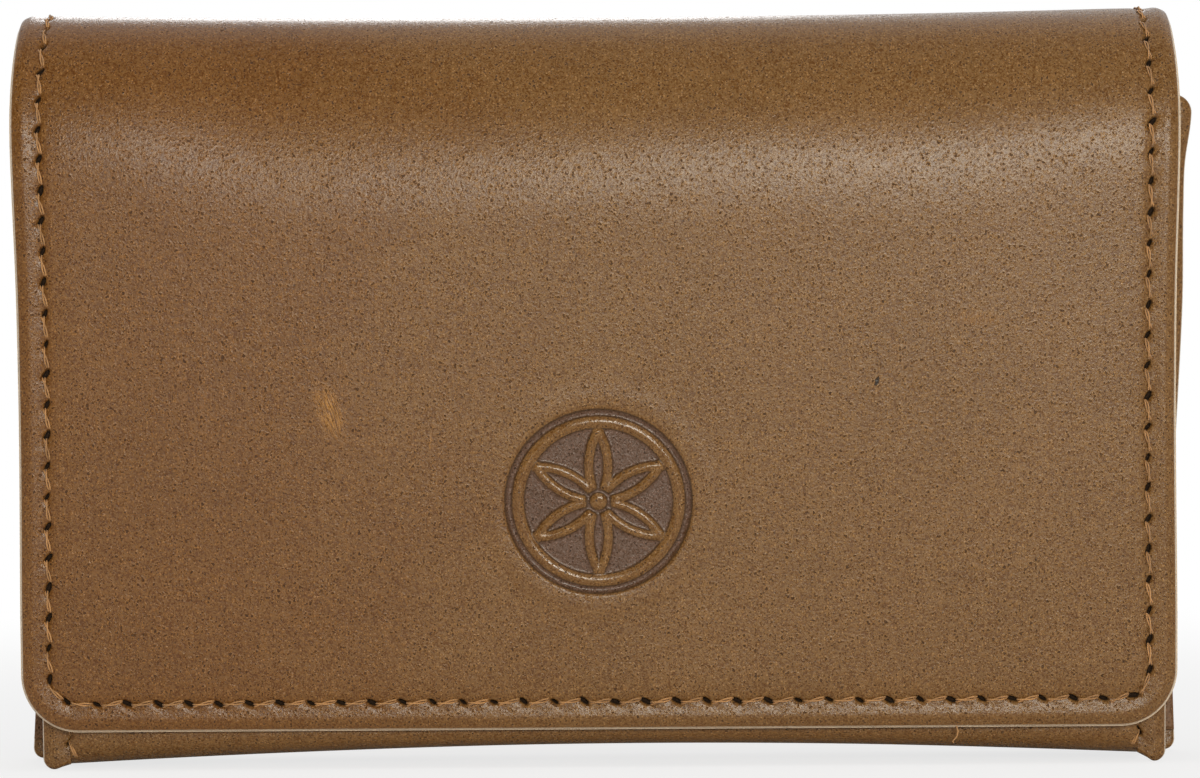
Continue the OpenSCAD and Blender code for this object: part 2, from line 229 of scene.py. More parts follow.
class StitchSizes(bpy.types.PropertyGroup):
    """Sizes of the stitching."""

    pitch: length("Pitch", 3.95, "Distance from one awl slit to the next")
    thread: length("Thread", 0.5, "Diameter of the two-ply thread")
    slit_length: length("Slit length", 1.6, "Length of an awl slit")
    slit_width: length("Slit width", 0.66, "Width of an awl slit")
    slit_depth: length("Slit depth", 0.8, "Depth of an awl slit")
    slit_angle: angle("Slit angle", 29, "Slant of the awl slits to the seam")
    seed: IntProperty(name="Seed", description="Seed of the slits' and stitches' wander", default=7)


class CaseColours(bpy.types.PropertyGroup):
    """Colours of the case's finishes."""

    leather: colour("Leather", (116, 79, 38), "Outer leather")
    stamped: colour("Stamped leather", (92, 64, 44), "Leather under the stamp")
    raw_edge: colour("Raw edge", (226, 205, 178), "Cut edge of the cover's lining")
    gusset: colour("Gusset", (112, 76, 44), "Gusset leather")
    facing: colour("Facing", (134, 96, 62), "Facing leather inside the cover and the mouth")
    suede: colour("Suede", (176, 148, 116), "Suede lining of the pocket")
    board: colour("Board", (158, 128, 90), "Stiffening board")
    thread: colour("Thread", (188, 137, 82), "Stitching thread")
    floor: colour("Floor", (247, 247, 247), "Floor and backdrop")


class StageSizes(bpy.types.PropertyGroup):
    """Camera and lamps."""

    distance: length("Camera distance", 620, "Distance of the camera from the case's middle")
    height: length("Camera height", 49.3, "Height of the camera above the floor")
    lens: number("Lens", 140.13, "Focal length of the camera, in millimetres")
    roll: angle("Roll", 0.45, "Turn of the camera about its own axis")
    front_light: number("Front light", 6.8, "Watts of the soft lamp in front", min=0)
    back_light: number("Back light", 1.6, "Watts of the soft lamp behind", min=0)
    top_light: number("Top light", 2.4, "Watts of the soft lamp above", min=0)
    world_light: number("World light", 0.36, "Strength of the light from all round", min=0)


# ---------- curves and sections, in millimetres ----------


def ease(t):
    """0 up to 0, 1 from 1, and a smooth step between."""
    t = np.clip(t, 0, 1)
    return t * t * (3 - 2 * t)


def through(x, table):
    """A smooth curve through a table's points, level beyond its ends."""
    xs, ys = np.array(table, float).T
    slopes = np.gradient(ys, xs)
    i = np.clip(np.searchsorted(xs, x) - 1, 0, len(xs) - 2)
    span = xs[i + 1] - xs[i]
    t = np.clip((x - xs[i]) / span, 0, 1)
    start = (1 + 2 * t) * (1 - t) ** 2 * ys[i] + t * (1 - t) ** 2 * span * slopes[i]
    end = t * t * (3 - 2 * t) * ys[i + 1] - t * t * (1 - t) * span * slopes[i + 1]
    return start + end


def steps(*stops):
    """Rising numbers from a first one through stops, which are (number, spacing up to it)."""
    values = [float(stops[0])]
    for stop, spacing in stops[1:]:
        count = max(1, round((stop - values[-1]) / spacing))
        values += list(np.linspace(values[-1], stop, count + 1)[1:])
    return np.array(values)


class Section:
    """Side section of a sheet's outer skin: a path in the Y-Z plane that turns in soft bends.

    The bends are mirrored before the start, so that a bend there stays smooth.
    """

    STEP = 0.02

    def __init__(self, start, heading, bends, total, soften, side=1):
        s = np.arange(-6, total + self.STEP, self.STEP)
        bend = np.zeros_like(s)
        for begin, over, turn in bends:
            bend += turn / over * ((abs(s) >= begin) & (abs(s) < begin + over))
        window = np.ones(max(1, round(soften / self.STEP)))
        bend = np.convolve(bend, window / len(window), "same")[s > -self.STEP / 2]
        self.s = s[s > -self.STEP / 2]
        self.total = total
        self.angle = heading + np.cumsum(bend) * self.STEP
        self.y = start[0] + np.cumsum(np.cos(self.angle)) * self.STEP
        self.z = start[1] + np.cumsum(np.sin(self.angle)) * self.STEP
        self.side = side

    def at(self, s, h):
        """Y and Z of the point at a length along the skin and a height above it."""
        angle = np.interp(s, self.s, self.angle)
        y = np.interp(s, self.s, self.y) + h * np.sin(angle)
        z = np.interp(s, self.s, self.z) - h * np.cos(angle)
        return self.side * y, z

    def length_at(self, z, after=0):
        """Length along the skin where it comes down to a height."""
        keep = self.s >= after
        return float(np.interp(-z, -self.z[keep], self.s[keep]))

    def end_at(self, y):
        """Ends the sheet where it reaches a distance from the middle under the base."""
        last = self.s > self.s[-1] - 4
        self.total = float(np.interp(y, self.y[last], self.s[last]))


# Air between the front wall and the flap, and width of the mouth's turned hem
FLAP_GAP = 0.5
HEM_WIDTH = 8


class Case:
    """The case's sizes in millimetres and the side sections of its sheets."""

    def __init__(self, context):
        sizes = context.scene.flap_case_sizes
        for name in CaseSizes.__annotations__:
            setattr(self, name, getattr(sizes, name) / MM)
        self.lean = sizes.lean
        self.front_half = self.front_width / 2
        self.rosette_r = self.rosette / 2
        self.wall = self.leather + self.board + self.lining
        self.cover = self.leather + self.lining
        self.fold = (self.leather + self.board) / 2
        self.front_seam = self.front_half - self.inset
        self.back_seam = HALF_WIDTH - self.inset
        self.down = math.pi * 1.5 + self.lean
        self.front_foot = self.foot(BEND_R - self.wall - FLAP_GAP)
        self.back_foot = self.foot(BEND_R)
        self.flap = self.flap_section(((17, 72), (12, 21.6)))
        self.flap_soft = self.flap_section(((14, 65), (22, 28.6)))
        self.back = self.back_section(True)
        self.back_margin = self.back_section(False)
        self.front = self.front_section(True)
        self.front_margin = self.front_section(False)
        self.inner_half = GUSSET_REACH + 5.6
        self.fold_top = HEM_WIDTH + (math.pi / 2 - 1) * self.fold

    def mouth_press(self, s):
        """Height of the front wall's face by its length: pressed in along the mouth's seam."""
        return -0.22 * np.exp(-(((s - self.fold_top - MOUTH_SEAM) / 0.55) ** 2))

    def foot(self, reach):
        """Distance from the middle at which a wall's plane meets the ground."""
        return (reach - BEND_Z * math.sin(self.lean)) / math.cos(self.lean) + BEND_Y

    def flap_section(self, parts):
        """The cover's front half: the crown, bends given by length and degrees, and the flap."""
        normal = np.array((-math.cos(self.lean), -math.sin(self.lean)))
        landing = np.array((-BEND_Y, BEND_Z)) + BEND_R * normal
        first = BEND_Y
        for _ in range(4):
            bends = []
            begin = first
            for over, degrees in parts:
                bends.append((begin, over, math.radians(degrees)))
                begin += over
            section = Section((0, TOP), math.pi, bends, 130, 4)
            i = round(90 / Section.STEP)
            miss = (np.array((section.y[i], section.z[i])) - landing) @ normal
            first -= miss / math.cos(self.lean)
        section.total = section.length_at(FLAP_FOOT)
        return section

    def back_section(self, turned):
        """The crown's back half and the back wall, turned under the base or straight down."""
        turn = math.pi / 2 + self.lean
        bends = [(BEND_Y, BEND_R * turn, turn)]
        wall = (BEND_Z - BEND_R * math.sin(self.lean)) / math.cos(self.lean)
        total = BEND_Y + BEND_R * turn + wall
        if turned:
            total = self.add_base(bends, total)
        section = Section((0, TOP), math.pi, bends, total, 3, side=-1)
        if turned:
            section.end_at((self.front_foot - self.back_foot) / 2)
        return section

    def front_section(self, turned):
        """The front wall from its turned hem, over the mouth and down to the base."""
        height = self.mouth / math.cos(self.lean)
        fold = self.fold
        lean = self.lean
        start_u = height - HEM_WIDTH if turned else height
        depth = 2 * fold if turned else 0
        start = (
            -self.front_foot - start_u * math.sin(lean) + depth * math.cos(lean),
            start_u * math.cos(lean) + depth * math.sin(lean),
        )
        if not turned:
            return Section(start, self.down, [], height, 0.5)
        bends = [(HEM_WIDTH - fold, math.pi * fold, math.pi)]
        total = HEM_WIDTH - fold + math.pi * fold + height - fold
        total = self.add_base(bends, total)
        section = Section(start, math.pi / 2 + lean, bends, total, 0.6)
        section.end_at((self.back_foot - self.front_foot) / 2)
        return section

    def add_base(self, bends, ground):
        """Adds the turn under the base to a wall that would meet the ground after a length."""
        turn = math.pi / 2 - self.lean
        run = self.base_r * math.tan(turn / 2)
        bends.append((ground - run, self.base_r * turn, turn))
        half_base = (self.front_foot + self.back_foot) / 2 - run
        return ground - run + self.base_r * turn + half_base + 1


# Half width of the cover by length from the crown's middle
FLAP_HALF = ((0, 75.5), (12, 75.5), (24, 75.8), (34, 75.6), (46, 75.25), (60, 75.1), (90, 75.3))
# Half widths of the walls by height, left and right
BACK_HALVES = (
    ((0, 76.8), (8, 76.4), (45, 76.0), (83, 75.7), (94, 75.5), (100, 75.5)),
    ((0, 77.9), (45, 77.0), (83, 76.0), (94, 75.5), (100, 75.5)),
)
FRONT_HALVES = (
    ((0, 73.1), (40, 73.4), (90, 74.9)),
    (
        (0, 74.3), (12, 74.4), (38, 75.5), (48, 76.1), (61, 76.75),
        (72, 76.85), (78, 77.05), (84, 77.9), (90, 78.0),
    ),
)
# How far the middle of the front wall's mouth is pressed in
MOUTH_PRESS = 2.3
# Length along the cover from which the back wall widens with its height
BACK_START = 60
# How soft the flap's bend is across the case
SOFTNESS = (
    (-76, 0), (-62, 0.15), (-45, 0.75), (-28, 0.82), (-10, 0.78),
    (11, 0.66), (26, 0.6), (46, 0.55), (62, 0.2), (76, 0),
)


def cover_place(case, X, S, h):
    """Where a point of the flap's half of the cover lies."""
    X, S, h = np.broadcast_arrays(X, S, h)
    across = X / HALF_WIDTH
    low = ease((S - 30) / (case.flap.total - 30))
    sag = (0.02 * (1 - across**2) + 0.1 * across - 0.08) * low
    wave = 0.1 * np.sin(X / 19 + 0.8) * np.sin(S / 17 + 0.4) + 0.16 * np.sin(X / 41 - 0.6)
    wave = wave * ease((S - 12) / 20)
    soft = through(X, SOFTNESS)
    tight = case.flap.at(S + sag, h + wave)
    loose = case.flap_soft.at((S + sag) * case.flap_soft.total / case.flap.total, h + wave)
    y, z = (a + (b - a) * soft for a, b in zip(tight, loose))
    z = z - crown_sink(case, across, S)
    return np.stack((across * through(S, FLAP_HALF), y, z), -1)


def crown_sink(case, across, S):
    """How far the crown sinks in the middle, fading out down the bends."""
    return (case.crown_dip * (1 - across**2) - 0.2) * (1 - ease((S - 8) / 26))


def back_place(case, X, S, h, section=None):
    """Where a point of the back half of the cover, the back wall and the base lies."""
    X, S, h = np.broadcast_arrays(X, S, h)
    wave = 0.12 * np.sin(X / 23) * np.sin(S / 21) * ease((S - 12) / 20)
    y, z = (section or case.back).at(S, h + wave)
    z = z - crown_sink(case, X / HALF_WIDTH, S)
    return spread(case, X, y, z, np.where(S < BACK_START, 1, 0))


def front_place(case, X, S, h, section=None):
    """Where a point of the front wall and the base lies."""
    X, S, h = np.broadcast_arrays(X, S, h)
    wave = 0.08 * np.sin(X / 17 + 1) * np.sin(S / 19)
    y, z = (section or case.front).at(S, h + wave)
    return spread(case, X, y, z)


def pocket_place(case, X, L, h):
    """Where a point inside the pocket lies, by its length from the base's middle line."""
    X, L, h = np.broadcast_arrays(X, L, h)
    front = case.front.at(case.front.total + L, h)
    back = case.back.at(case.back.total - L, h)
    y, z = (np.where(L < 0, a, b) for a, b in zip(front, back))
    return spread(case, X, y, z)


def spread(case, x, y, z, back=0.0):
    """Widens the walls as they stand, arches up the base and presses in the mouth's middle."""
    front_y = -case.front_foot - z * math.tan(case.lean)
    back_y = case.back_foot + z * math.tan(case.lean)
    depth = np.maximum(np.clip((y - front_y) / (back_y - front_y), 0, 1), back)
    right = x > 0
    fronts = np.where(right, through(z, FRONT_HALVES[1]), through(z, FRONT_HALVES[0]))
    backs = np.where(right, through(z, BACK_HALVES[1]), through(z, BACK_HALVES[0]))
    wide = fronts / case.front_half * (1 - depth) + backs / HALF_WIDTH * depth
    seam = case.front_seam * (1 - depth) + case.back_seam * depth
    inside = np.clip(1 - (abs(x) - seam) / 2.2, 0, 1)
    low = np.clip(1 - z / 9, 0, 1) ** 2 * ease(inside)
    across = np.clip(x / case.front_seam, -1, 1)
    lift = 0.9 + 0.25 * across + case.base_lift * (1 - across**2)
    press = MOUTH_PRESS * through(x, SOFTNESS) * ease((z - 72) / 15) * (1 - depth) ** 2
    return np.stack((x * wide, y + press, z + lift * low), -1)


# ---------- the hem and its awl slits ----------

# Height of a sewn hem's face by distance from its cut edge
HEM = (
    (0.2, -0.95), (0.28, -0.72), (0.42, -0.54), (0.65, -0.38), (0.95, -0.24), (1.3, -0.1),
    (1.65, -0.03), (2.0, -0.04), (2.4, -0.085), (2.85, -0.14), (3.4, -0.2), (3.85, -0.27),
    (4.25, -0.17), (4.65, -0.07), (5.15, -0.02), (5.6, 0.0), (7.0, 0.0),
)
# Distances from the cut edge at which a hem's face has rows
HEM_ROWS = (
    (5.15, 4.85, 4.6, 4.4, 4.23, 4.09, 3.97, 3.85)
    + (3.73, 3.61, 3.45, 3.22, 2.95, 2.7, 2.4, 2.1, 1.8, 1.5)
    + (1.22, 0.97, 0.75, 0.56, 0.42, 0.31, 0.24, 0.2)
)
# Number of the row on the seam, where a wall's margin ends
SEAM_ROW = 7
# The rest of the rounded edge: distance from the cut edge, share of the thickness below the face
HEM_UNDER = ((0.2, 0.79), (0.28, 0.91), (0.43, 0.98), (0.7, 1.0), (1.4, 1.0), (2.4, 1.0))
# Places of the mesh's columns in one stitch, close together round the awl slit in its middle
PITCH_STEPS = (0, 0.11, 0.21, 0.29, 0.35, 0.4, 0.45, 0.5, 0.55, 0.6, 0.65, 0.71, 0.79, 0.89)


class Seam:
    """A line of stitches on a sheet: awl slits at even steps of its real length."""

    def __init__(self, context, flat, end, place, seed, drop=-0.27):
        stitch = context.scene.flap_case_stitches
        self.flat = flat
        self.place = place
        q = np.linspace(0, end, 4000)
        points = place(*flat(q), drop)
        apart = np.linalg.norm(np.diff(points, axis=0), axis=1)
        self.q = q
        self.along = np.concatenate(([0], np.cumsum(apart)))
        self.count = round(self.along[-1] / (stitch.pitch / MM))
        self.pitch = self.along[-1] / self.count
        self.half_length = stitch.slit_length / MM / 2
        self.half_width = stitch.slit_width / MM / 2
        self.depth = stitch.slit_depth / MM
        random = np.random.default_rng(stitch.seed + seed)
        self.angle = stitch.slit_angle + random.uniform(-0.22, 0.22, self.count)
        self.size = random.uniform(0.7, 1.1, self.count)
        self.shift = random.uniform(-0.1, 0.1, (2, self.count))

    def columns(self):
        """Places of the mesh's columns along the seam, and the same in flat lengths."""
        along = (np.arange(self.count)[:, None] + np.array(PITCH_STEPS)) * self.pitch
        along = np.append(along.ravel(), self.along[-1])
        return along, np.interp(along, self.along, self.q)

    def slits(self, along, off):
        """How deep a point is inside an awl slit, and how near it is to one, from 0 to 1."""
        i = np.clip((along / self.pitch).astype(int), 0, self.count - 1)
        ahead = along - (i + 0.5) * self.pitch - self.shift[0][i]
        off = off - self.shift[1][i]
        cos, sin = np.cos(self.angle[i]), np.sin(self.angle[i])
        long = (ahead * cos - off * sin) / (self.half_length * self.size[i])
        wide = (ahead * sin + off * cos) / (self.half_width * self.size[i])
        near = np.hypot(long, wide)
        inside = (along > 0) & (along < self.along[-1])
        return ease((1.2 - near) / 0.55) * inside, np.exp(-((near / 2.1) ** 2)) * inside

    def pressed(self, along, off):
        """Height of the leather by the seam, and how deep each point is in a slit."""
        deep, near = self.slits(along, off)
        middle = np.exp(-((off / 0.55) ** 2)) * np.cos(along / self.pitch * 2 * math.pi) * 0.05
        return middle - 0.1 * near - self.depth * deep, deep

    def guide(self, name, first, last, rise, inside=False):
        """A polyline between two stitches, with the way out of the leather at each point."""
        along = np.linspace(first * self.pitch, last * self.pitch, 24 * (last - first) + 1)
        flat = self.flat(np.interp(along, self.along, self.q))
        points = self.place(*flat, rise)
        out = self.place(*flat, rise + 1) - points
        out = -out if inside else out
        mesh = bpy.data.meshes.new(name)
        edges = np.stack((np.arange(len(points) - 1), np.arange(1, len(points))), -1)
        mesh.from_pydata((points * MM).tolist(), edges.tolist(), [])
        store(mesh, "out", "FLOAT_VECTOR", out)
        return new_object(name, mesh), last - first + 1


def store(mesh, name, kind, values):
    """Keeps one value or vector for each of a mesh's points."""
    attribute = mesh.attributes.new(name, kind, "POINT")
    field = "vector" if kind == "FLOAT_VECTOR" else "value"
    attribute.data.foreach_set(field, np.asarray(values, np.float32).ravel())


def new_object(name, mesh):
    item = bpy.data.objects.new(name, mesh)
    bpy.context.scene.collection.objects.link(item)
    return item


# ---------- closed leather shells ----------


# Width over which a leaf's edge is softened, and over which it is worn
SOFT_EDGE = 0.4
WORN_EDGE = 0.5
SHARP = math.radians(50)


class Shell:
    """Points and faces of closed sheets, in flat leather coordinates until they are placed."""

    def __init__(self):
        self.points = []
        self.marks = []
        self.faces = []
        self.size = 0

    def add(self, X, S, h, hole=0.0, stamp=0.0, edge=0.0):
        """Adds an array of points and gives their numbers in an array of the same shape."""
        X, S, h, hole, stamp, edge = np.broadcast_arrays(X, S, h, hole, stamp, edge)
        self.points.append(np.stack((X, S, h), -1).reshape(-1, 3))
        self.marks.append(np.stack((hole, stamp, edge), -1).reshape(-1, 3))
        ids = np.arange(X.size).reshape(X.shape) + self.size
        self.size += X.size
        return ids

    def grid(self, ids):
        """Faces between the rows and columns of an array of points."""
        corners = (ids[:-1, :-1], ids[1:, :-1], ids[1:, 1:], ids[:-1, 1:])
        self.faces += np.stack(corners, -1).reshape(-1, 4).tolist()

    def join(self, first, second):
        """A band of faces between two rows with as many points."""
        self.grid(np.stack((first, second)))

    def zip(self, first, first_at, second, second_at):
        """Triangles between two rows whose points lie at different places along them."""
        i = j = 0
        last_i, last_j = len(first) - 1, len(second) - 1
        while i < last_i or j < last_j:
            if j == last_j or (i < last_i and first_at[i + 1] <= second_at[j + 1]):
                self.faces.append([int(first[i]), int(first[i + 1]), int(second[j])])
                i += 1
            else:
                self.faces.append([int(first[i]), int(second[j + 1]), int(second[j])])
                j += 1

    def close(self, outer, inner):
        """Two grids with as many points, and the four walls between them."""
        self.grid(outer)
        self.grid(inner)
        for side in (np.s_[0, :], np.s_[-1, :], np.s_[:, 0], np.s_[:, -1]):
            self.join(outer[side], inner[side])

    def leaf(self, X, S, faces, edge, raw=1.0):
        """A sheet between two heights, whose edge is at a distance from each of its points."""
        full = 0.5 + 0.5 * np.sqrt(1 - (1 - np.clip(edge / SOFT_EDGE, 0, 1)) ** 2)
        worn = raw * np.clip(1 - edge / WORN_EDGE, 0, 1)
        middle = sum(faces) / 2
        self.close(*(self.add(X, S, middle + (face - middle) * full, 0, 0, worn) for face in faces))

    def build(self, name, place, sides=1):
        """A mesh object whose points go where place says."""
        flat = np.concatenate(self.points)
        points = place(flat[:, 0], flat[:, 1], flat[:, 2])
        mesh = bpy.data.meshes.new(name)
        mesh.from_pydata((points * MM).tolist(), [], self.faces)
        store(mesh, "hide", "FLOAT_VECTOR", flat * (1, sides, 1))
        store(mesh, "marks", "FLOAT_VECTOR", np.concatenate(self.marks))
        tidy_mesh(mesh)
        return new_object(name, mesh)


def tidy_mesh(mesh):
    """Merges doubles, turns faces outwards and shades them smooth up to an angle."""
    work = bmesh.new()
    work.from_mesh(mesh)
    bmesh.ops.remove_doubles(work, verts=work.verts, dist=1e-7)
    bmesh.ops.recalc_face_normals(work, faces=work.faces)
    work.to_mesh(mesh)
    work.free()
    mesh.shade_smooth()
    mesh.set_sharp_from_angle(angle=SHARP)


def outline(case, half, foot, corner):
    """The U-shaped line at an inset from a cover's cut edge, as a function of its length."""

    def point(q, inset):
        line = corner - case.inset
        side = foot - corner
        turn = math.pi / 2 * line
        width = 2 * (half - corner)
        stops = np.cumsum((side, turn, width, turn))
        radius = corner - inset
        a = (q - stops[0]) / line
        b = (q - stops[2]) / line
        pieces = (
            (-half + inset, q),
            (-half + corner - radius * np.cos(a), side + radius * np.sin(a)),
            (-half + corner + q - stops[1], foot - inset),
            (half - corner + radius * np.sin(b), side + radius * np.cos(b)),
            (half - inset, side - (q - stops[3])),
        )
        piece = np.searchsorted(stops, q)
        X = np.choose(piece, [np.broadcast_to(p[0], np.shape(piece)) for p in pieces])
        S = np.choose(piece, [np.broadcast_to(p[1], np.shape(piece)) for p in pieces])
        return X, S, stops

    return point


def flap_sheet(context, case, name, face, rows, xs, ss, slits_down):
    """A U-edged sheet of the cover: its hem with awl slits, its field and its far side.

    The slits go into the sheet if slits_down is 1, and through from behind if it is -1.
    """
    foot, corner = case.flap.total, case.flap_corner
    side, reach = foot - corner, HALF_WIDTH - corner
    line = outline(case, HALF_WIDTH, foot, corner)
    end = 2 * side + math.pi * (corner - case.inset) + 2 * reach
    place = partial(cover_place, case)
    seam = Seam(context, lambda q: line(q, case.inset)[:2], end, place, 1)
    q = seam.columns()[1]
    q = np.insert(q, (1, len(q) - 1), (0.05, end - 0.05))
    shell = Shell()
    hem, stops = flap_hem(shell, case, seam, line, q, rows, slits_down)
    ss = np.concatenate(([0, 0.05], ss[(ss > 0.3) & (ss < side - 0.2)], [side]))
    xs = np.concatenate(([-reach], xs[abs(xs) < reach - 0.2], [reach]))
    h, stamp = face(xs[None, :], ss[:, None])
    field = shell.add(xs[None, :], ss[:, None], h, 0, stamp, 0)
    shell.grid(field)
    far_x = steps(-reach, (reach, 6))
    far_s = np.concatenate(([0, 0.05], steps(1, (44, 2), (side, 4))))
    far = shell.add(far_x[None, :], far_s[:, None], -case.leather)
    shell.grid(far)
    corner_q = (stops[0] + stops[1]) / 2
    fit_field(shell, field, xs, ss, hem[0], q, corner_q)
    fit_field(shell, far, far_x, far_s, hem[-1], q, corner_q)
    close_start(shell, hem, field[0], far[0])
    return shell.build(name, place), seam


def flap_hem(shell, case, seam, line, q, rows, slits_down):
    """The hem's points in rows along its outline, and the lengths at which the outline turns."""
    along = np.interp(q, seam.q, seam.along)
    inset, height, edge = (np.array(column)[:, None] for column in zip(*rows))
    X, S, stops = line(*np.broadcast_arrays(q[None, :], inset))
    press, deep = seam.pressed(*np.broadcast_arrays(along[None, :], inset - case.inset))
    shown = np.arange(len(rows))[:, None] < len(HEM_ROWS)
    hem = shell.add(X, S, height + slits_down * press * shown, deep * shown, 0, edge)
    shell.grid(hem)
    return hem, stops


def fit_field(shell, ids, x, s, row, q, corner_q):
    """Faces that join the sides and the foot of a flat field to a row of the hem."""
    end, reach = q[-1], x[-1]
    border = np.concatenate((ids[:, 0], ids[-1, 1:-1], ids[::-1, -1]))
    bottom = corner_q + (x[1:-1] + reach) / (2 * reach) * (end - 2 * corner_q)
    sides = np.where(s < s[-1], s, corner_q)
    shell.zip(row, q, border, np.concatenate((sides, bottom, end - sides[::-1])))


def close_start(shell, hem, field, far):
    """Closes the sheet across its start, between the hem's two ends."""
    left, right, under = hem[::-1, 0], hem[:, -1], len(HEM_UNDER)
    upper = np.concatenate((left[under:], field, right[:-under]))
    lower = np.concatenate((left[:under][::-1], far, right[-under:]))
    nose = [upper[0], *lower, upper[-1]]
    across = np.concatenate(shell.points)[:, 0]
    shell.zip(upper, across[upper], nose, across[nose])


# How raw a cut edge is: above 1 the leather's flesh shows
RAW = 1.6
# Distance of a hem's last row from the flat outline of its sheet
HEM_EDGE = 0.2


def hem_rows(thickness, first=0):
    """Rows of a hem's mesh: distance from the cut edge, height, and how raw the edge is."""
    rows = [(d, float(through(d, HEM)), worn_edge(d)) for d in HEM_ROWS[first:]]
    return rows + [(d, -share * thickness, RAW * (share < 0.95)) for d, share in HEM_UNDER]


# ---------- shader nodes ----------


class Value:
    """An output socket that takes part in sums: an expression adds its Math nodes."""

    def __init__(self, builder, socket):
        self.builder = builder
        self.socket = socket

    def out(self, name):
        """Another output of the same node."""
        return Value(self.builder, self.socket.node.outputs[name])

    def math(self, operation, *others):
        return self.builder.add("ShaderNodeMath", {"operation": operation}, (self, *others))

    def __add__(self, other):
        return self.math("ADD", other)

    def __sub__(self, other):
        return self.math("SUBTRACT", other)

    def __mul__(self, other):
        return self.math("MULTIPLY", other)

    def __truediv__(self, other):
        return self.math("DIVIDE", other)

    def __pow__(self, other):
        return self.math("POWER", other)

    def __rsub__(self, other):
        return self.builder.add("ShaderNodeMath", {"operation": "SUBTRACT"}, (other, self))

    def __neg__(self):
        return self.math("MULTIPLY", -1)

    __radd__ = __add__
    __rmul__ = __mul__


class Builder:
    """Adds nodes to one tree."""

    def __init__(self, tree):
        self.tree = tree

    def add(self, kind, settings=None, values=(), output=0):
        """A node of a type, with its settings and the values or links of its sockets."""
        node = self.tree.nodes.new(kind)
        for name, setting in (settings or {}).items():
            setattr(node, name, setting)
        pairs = values.items() if isinstance(values, dict) else enumerate(values)
        for name, value in pairs:
            socket = node.inputs[name]
            if isinstance(value, Value):
                self.tree.links.new(value.socket, socket)
            elif value is not None:
                socket.default_value = value
        if not node.outputs:
            return None
        return Value(self, node.outputs[output])

    def attribute(self, name):
        return self.add("ShaderNodeAttribute", {"attribute_name": name}, (), "Vector")

    def place(self):
        return self.add("ShaderNodeTexCoord", {}, (), "Object")

    def parts(self, vector):
        """The first part of a vector. The others are outputs of the same node."""
        return self.add("ShaderNodeSeparateXYZ", {}, (vector,))

    def length(self, vector):
        return self.add("ShaderNodeVectorMath", {"operation": "LENGTH"}, (vector,), "Value")

    def noise(self, vector, scale, detail=2.0, roughness=0.5, distortion=0.0):
        values = {"Vector": vector, "Scale": scale, "Detail": detail}
        values |= {"Roughness": roughness, "Distortion": distortion}
        return self.add("ShaderNodeTexNoise", {}, values)

    def cells(self, vector, scale):
        return self.add("ShaderNodeTexVoronoi", {}, {"Vector": vector, "Scale": scale})

    def step(self, value, low, high):
        """0 below one value, 1 above another, smooth between. They may be swapped."""
        settings = {"interpolation_type": "SMOOTHSTEP"}
        return self.add("ShaderNodeMapRange", settings, {0: value, 1: low, 2: high, 3: 0.0, 4: 1.0})

    def mix(self, factor, first, second):
        first, second = (v if isinstance(v, Value) else (*v, 1) for v in (first, second))
        values = {0: factor, 6: first, 7: second}
        return self.add("ShaderNodeMix", {"data_type": "RGBA"}, values, 2)

    def multiply(self, first, second):
        """Two colours multiplied."""
        values = {0: 1.0, 6: first, 7: second}
        return self.add("ShaderNodeMix", {"data_type": "RGBA", "blend_type": "MULTIPLY"}, values, 2)

    def stretch(self, vector, scale, shift=(0, 0, 0), turn=0.0):
        values = {"Vector": vector, "Location": shift, "Rotation": (0, 0, turn), "Scale": scale}
        return self.add("ShaderNodeMapping", {"vector_type": "TEXTURE"}, values)

    def bump(self, height, distance, strength=1.0):
        values = {"Strength": strength, "Distance": distance, "Height": height}
        return self.add("ShaderNodeBump", {}, values)

    def end(self, kind, shader):
        self.add(kind, {}, {"Surface": shader})


def finish_of(name, viewport):
    """A new material and the builder of its nodes."""
    material = bpy.data.materials.new(name)
    material.use_nodes = True
    material.diffuse_color = (*viewport, 1)
    material.node_tree.nodes.clear()
    return material, Builder(material.node_tree)


# ---------- finishes ----------


def shade(tone, *factors):
    """A colour times one factor, or times one for each of its parts."""
    return tuple(min(1, part * factor) for part, factor in zip(tone, factors * 3))


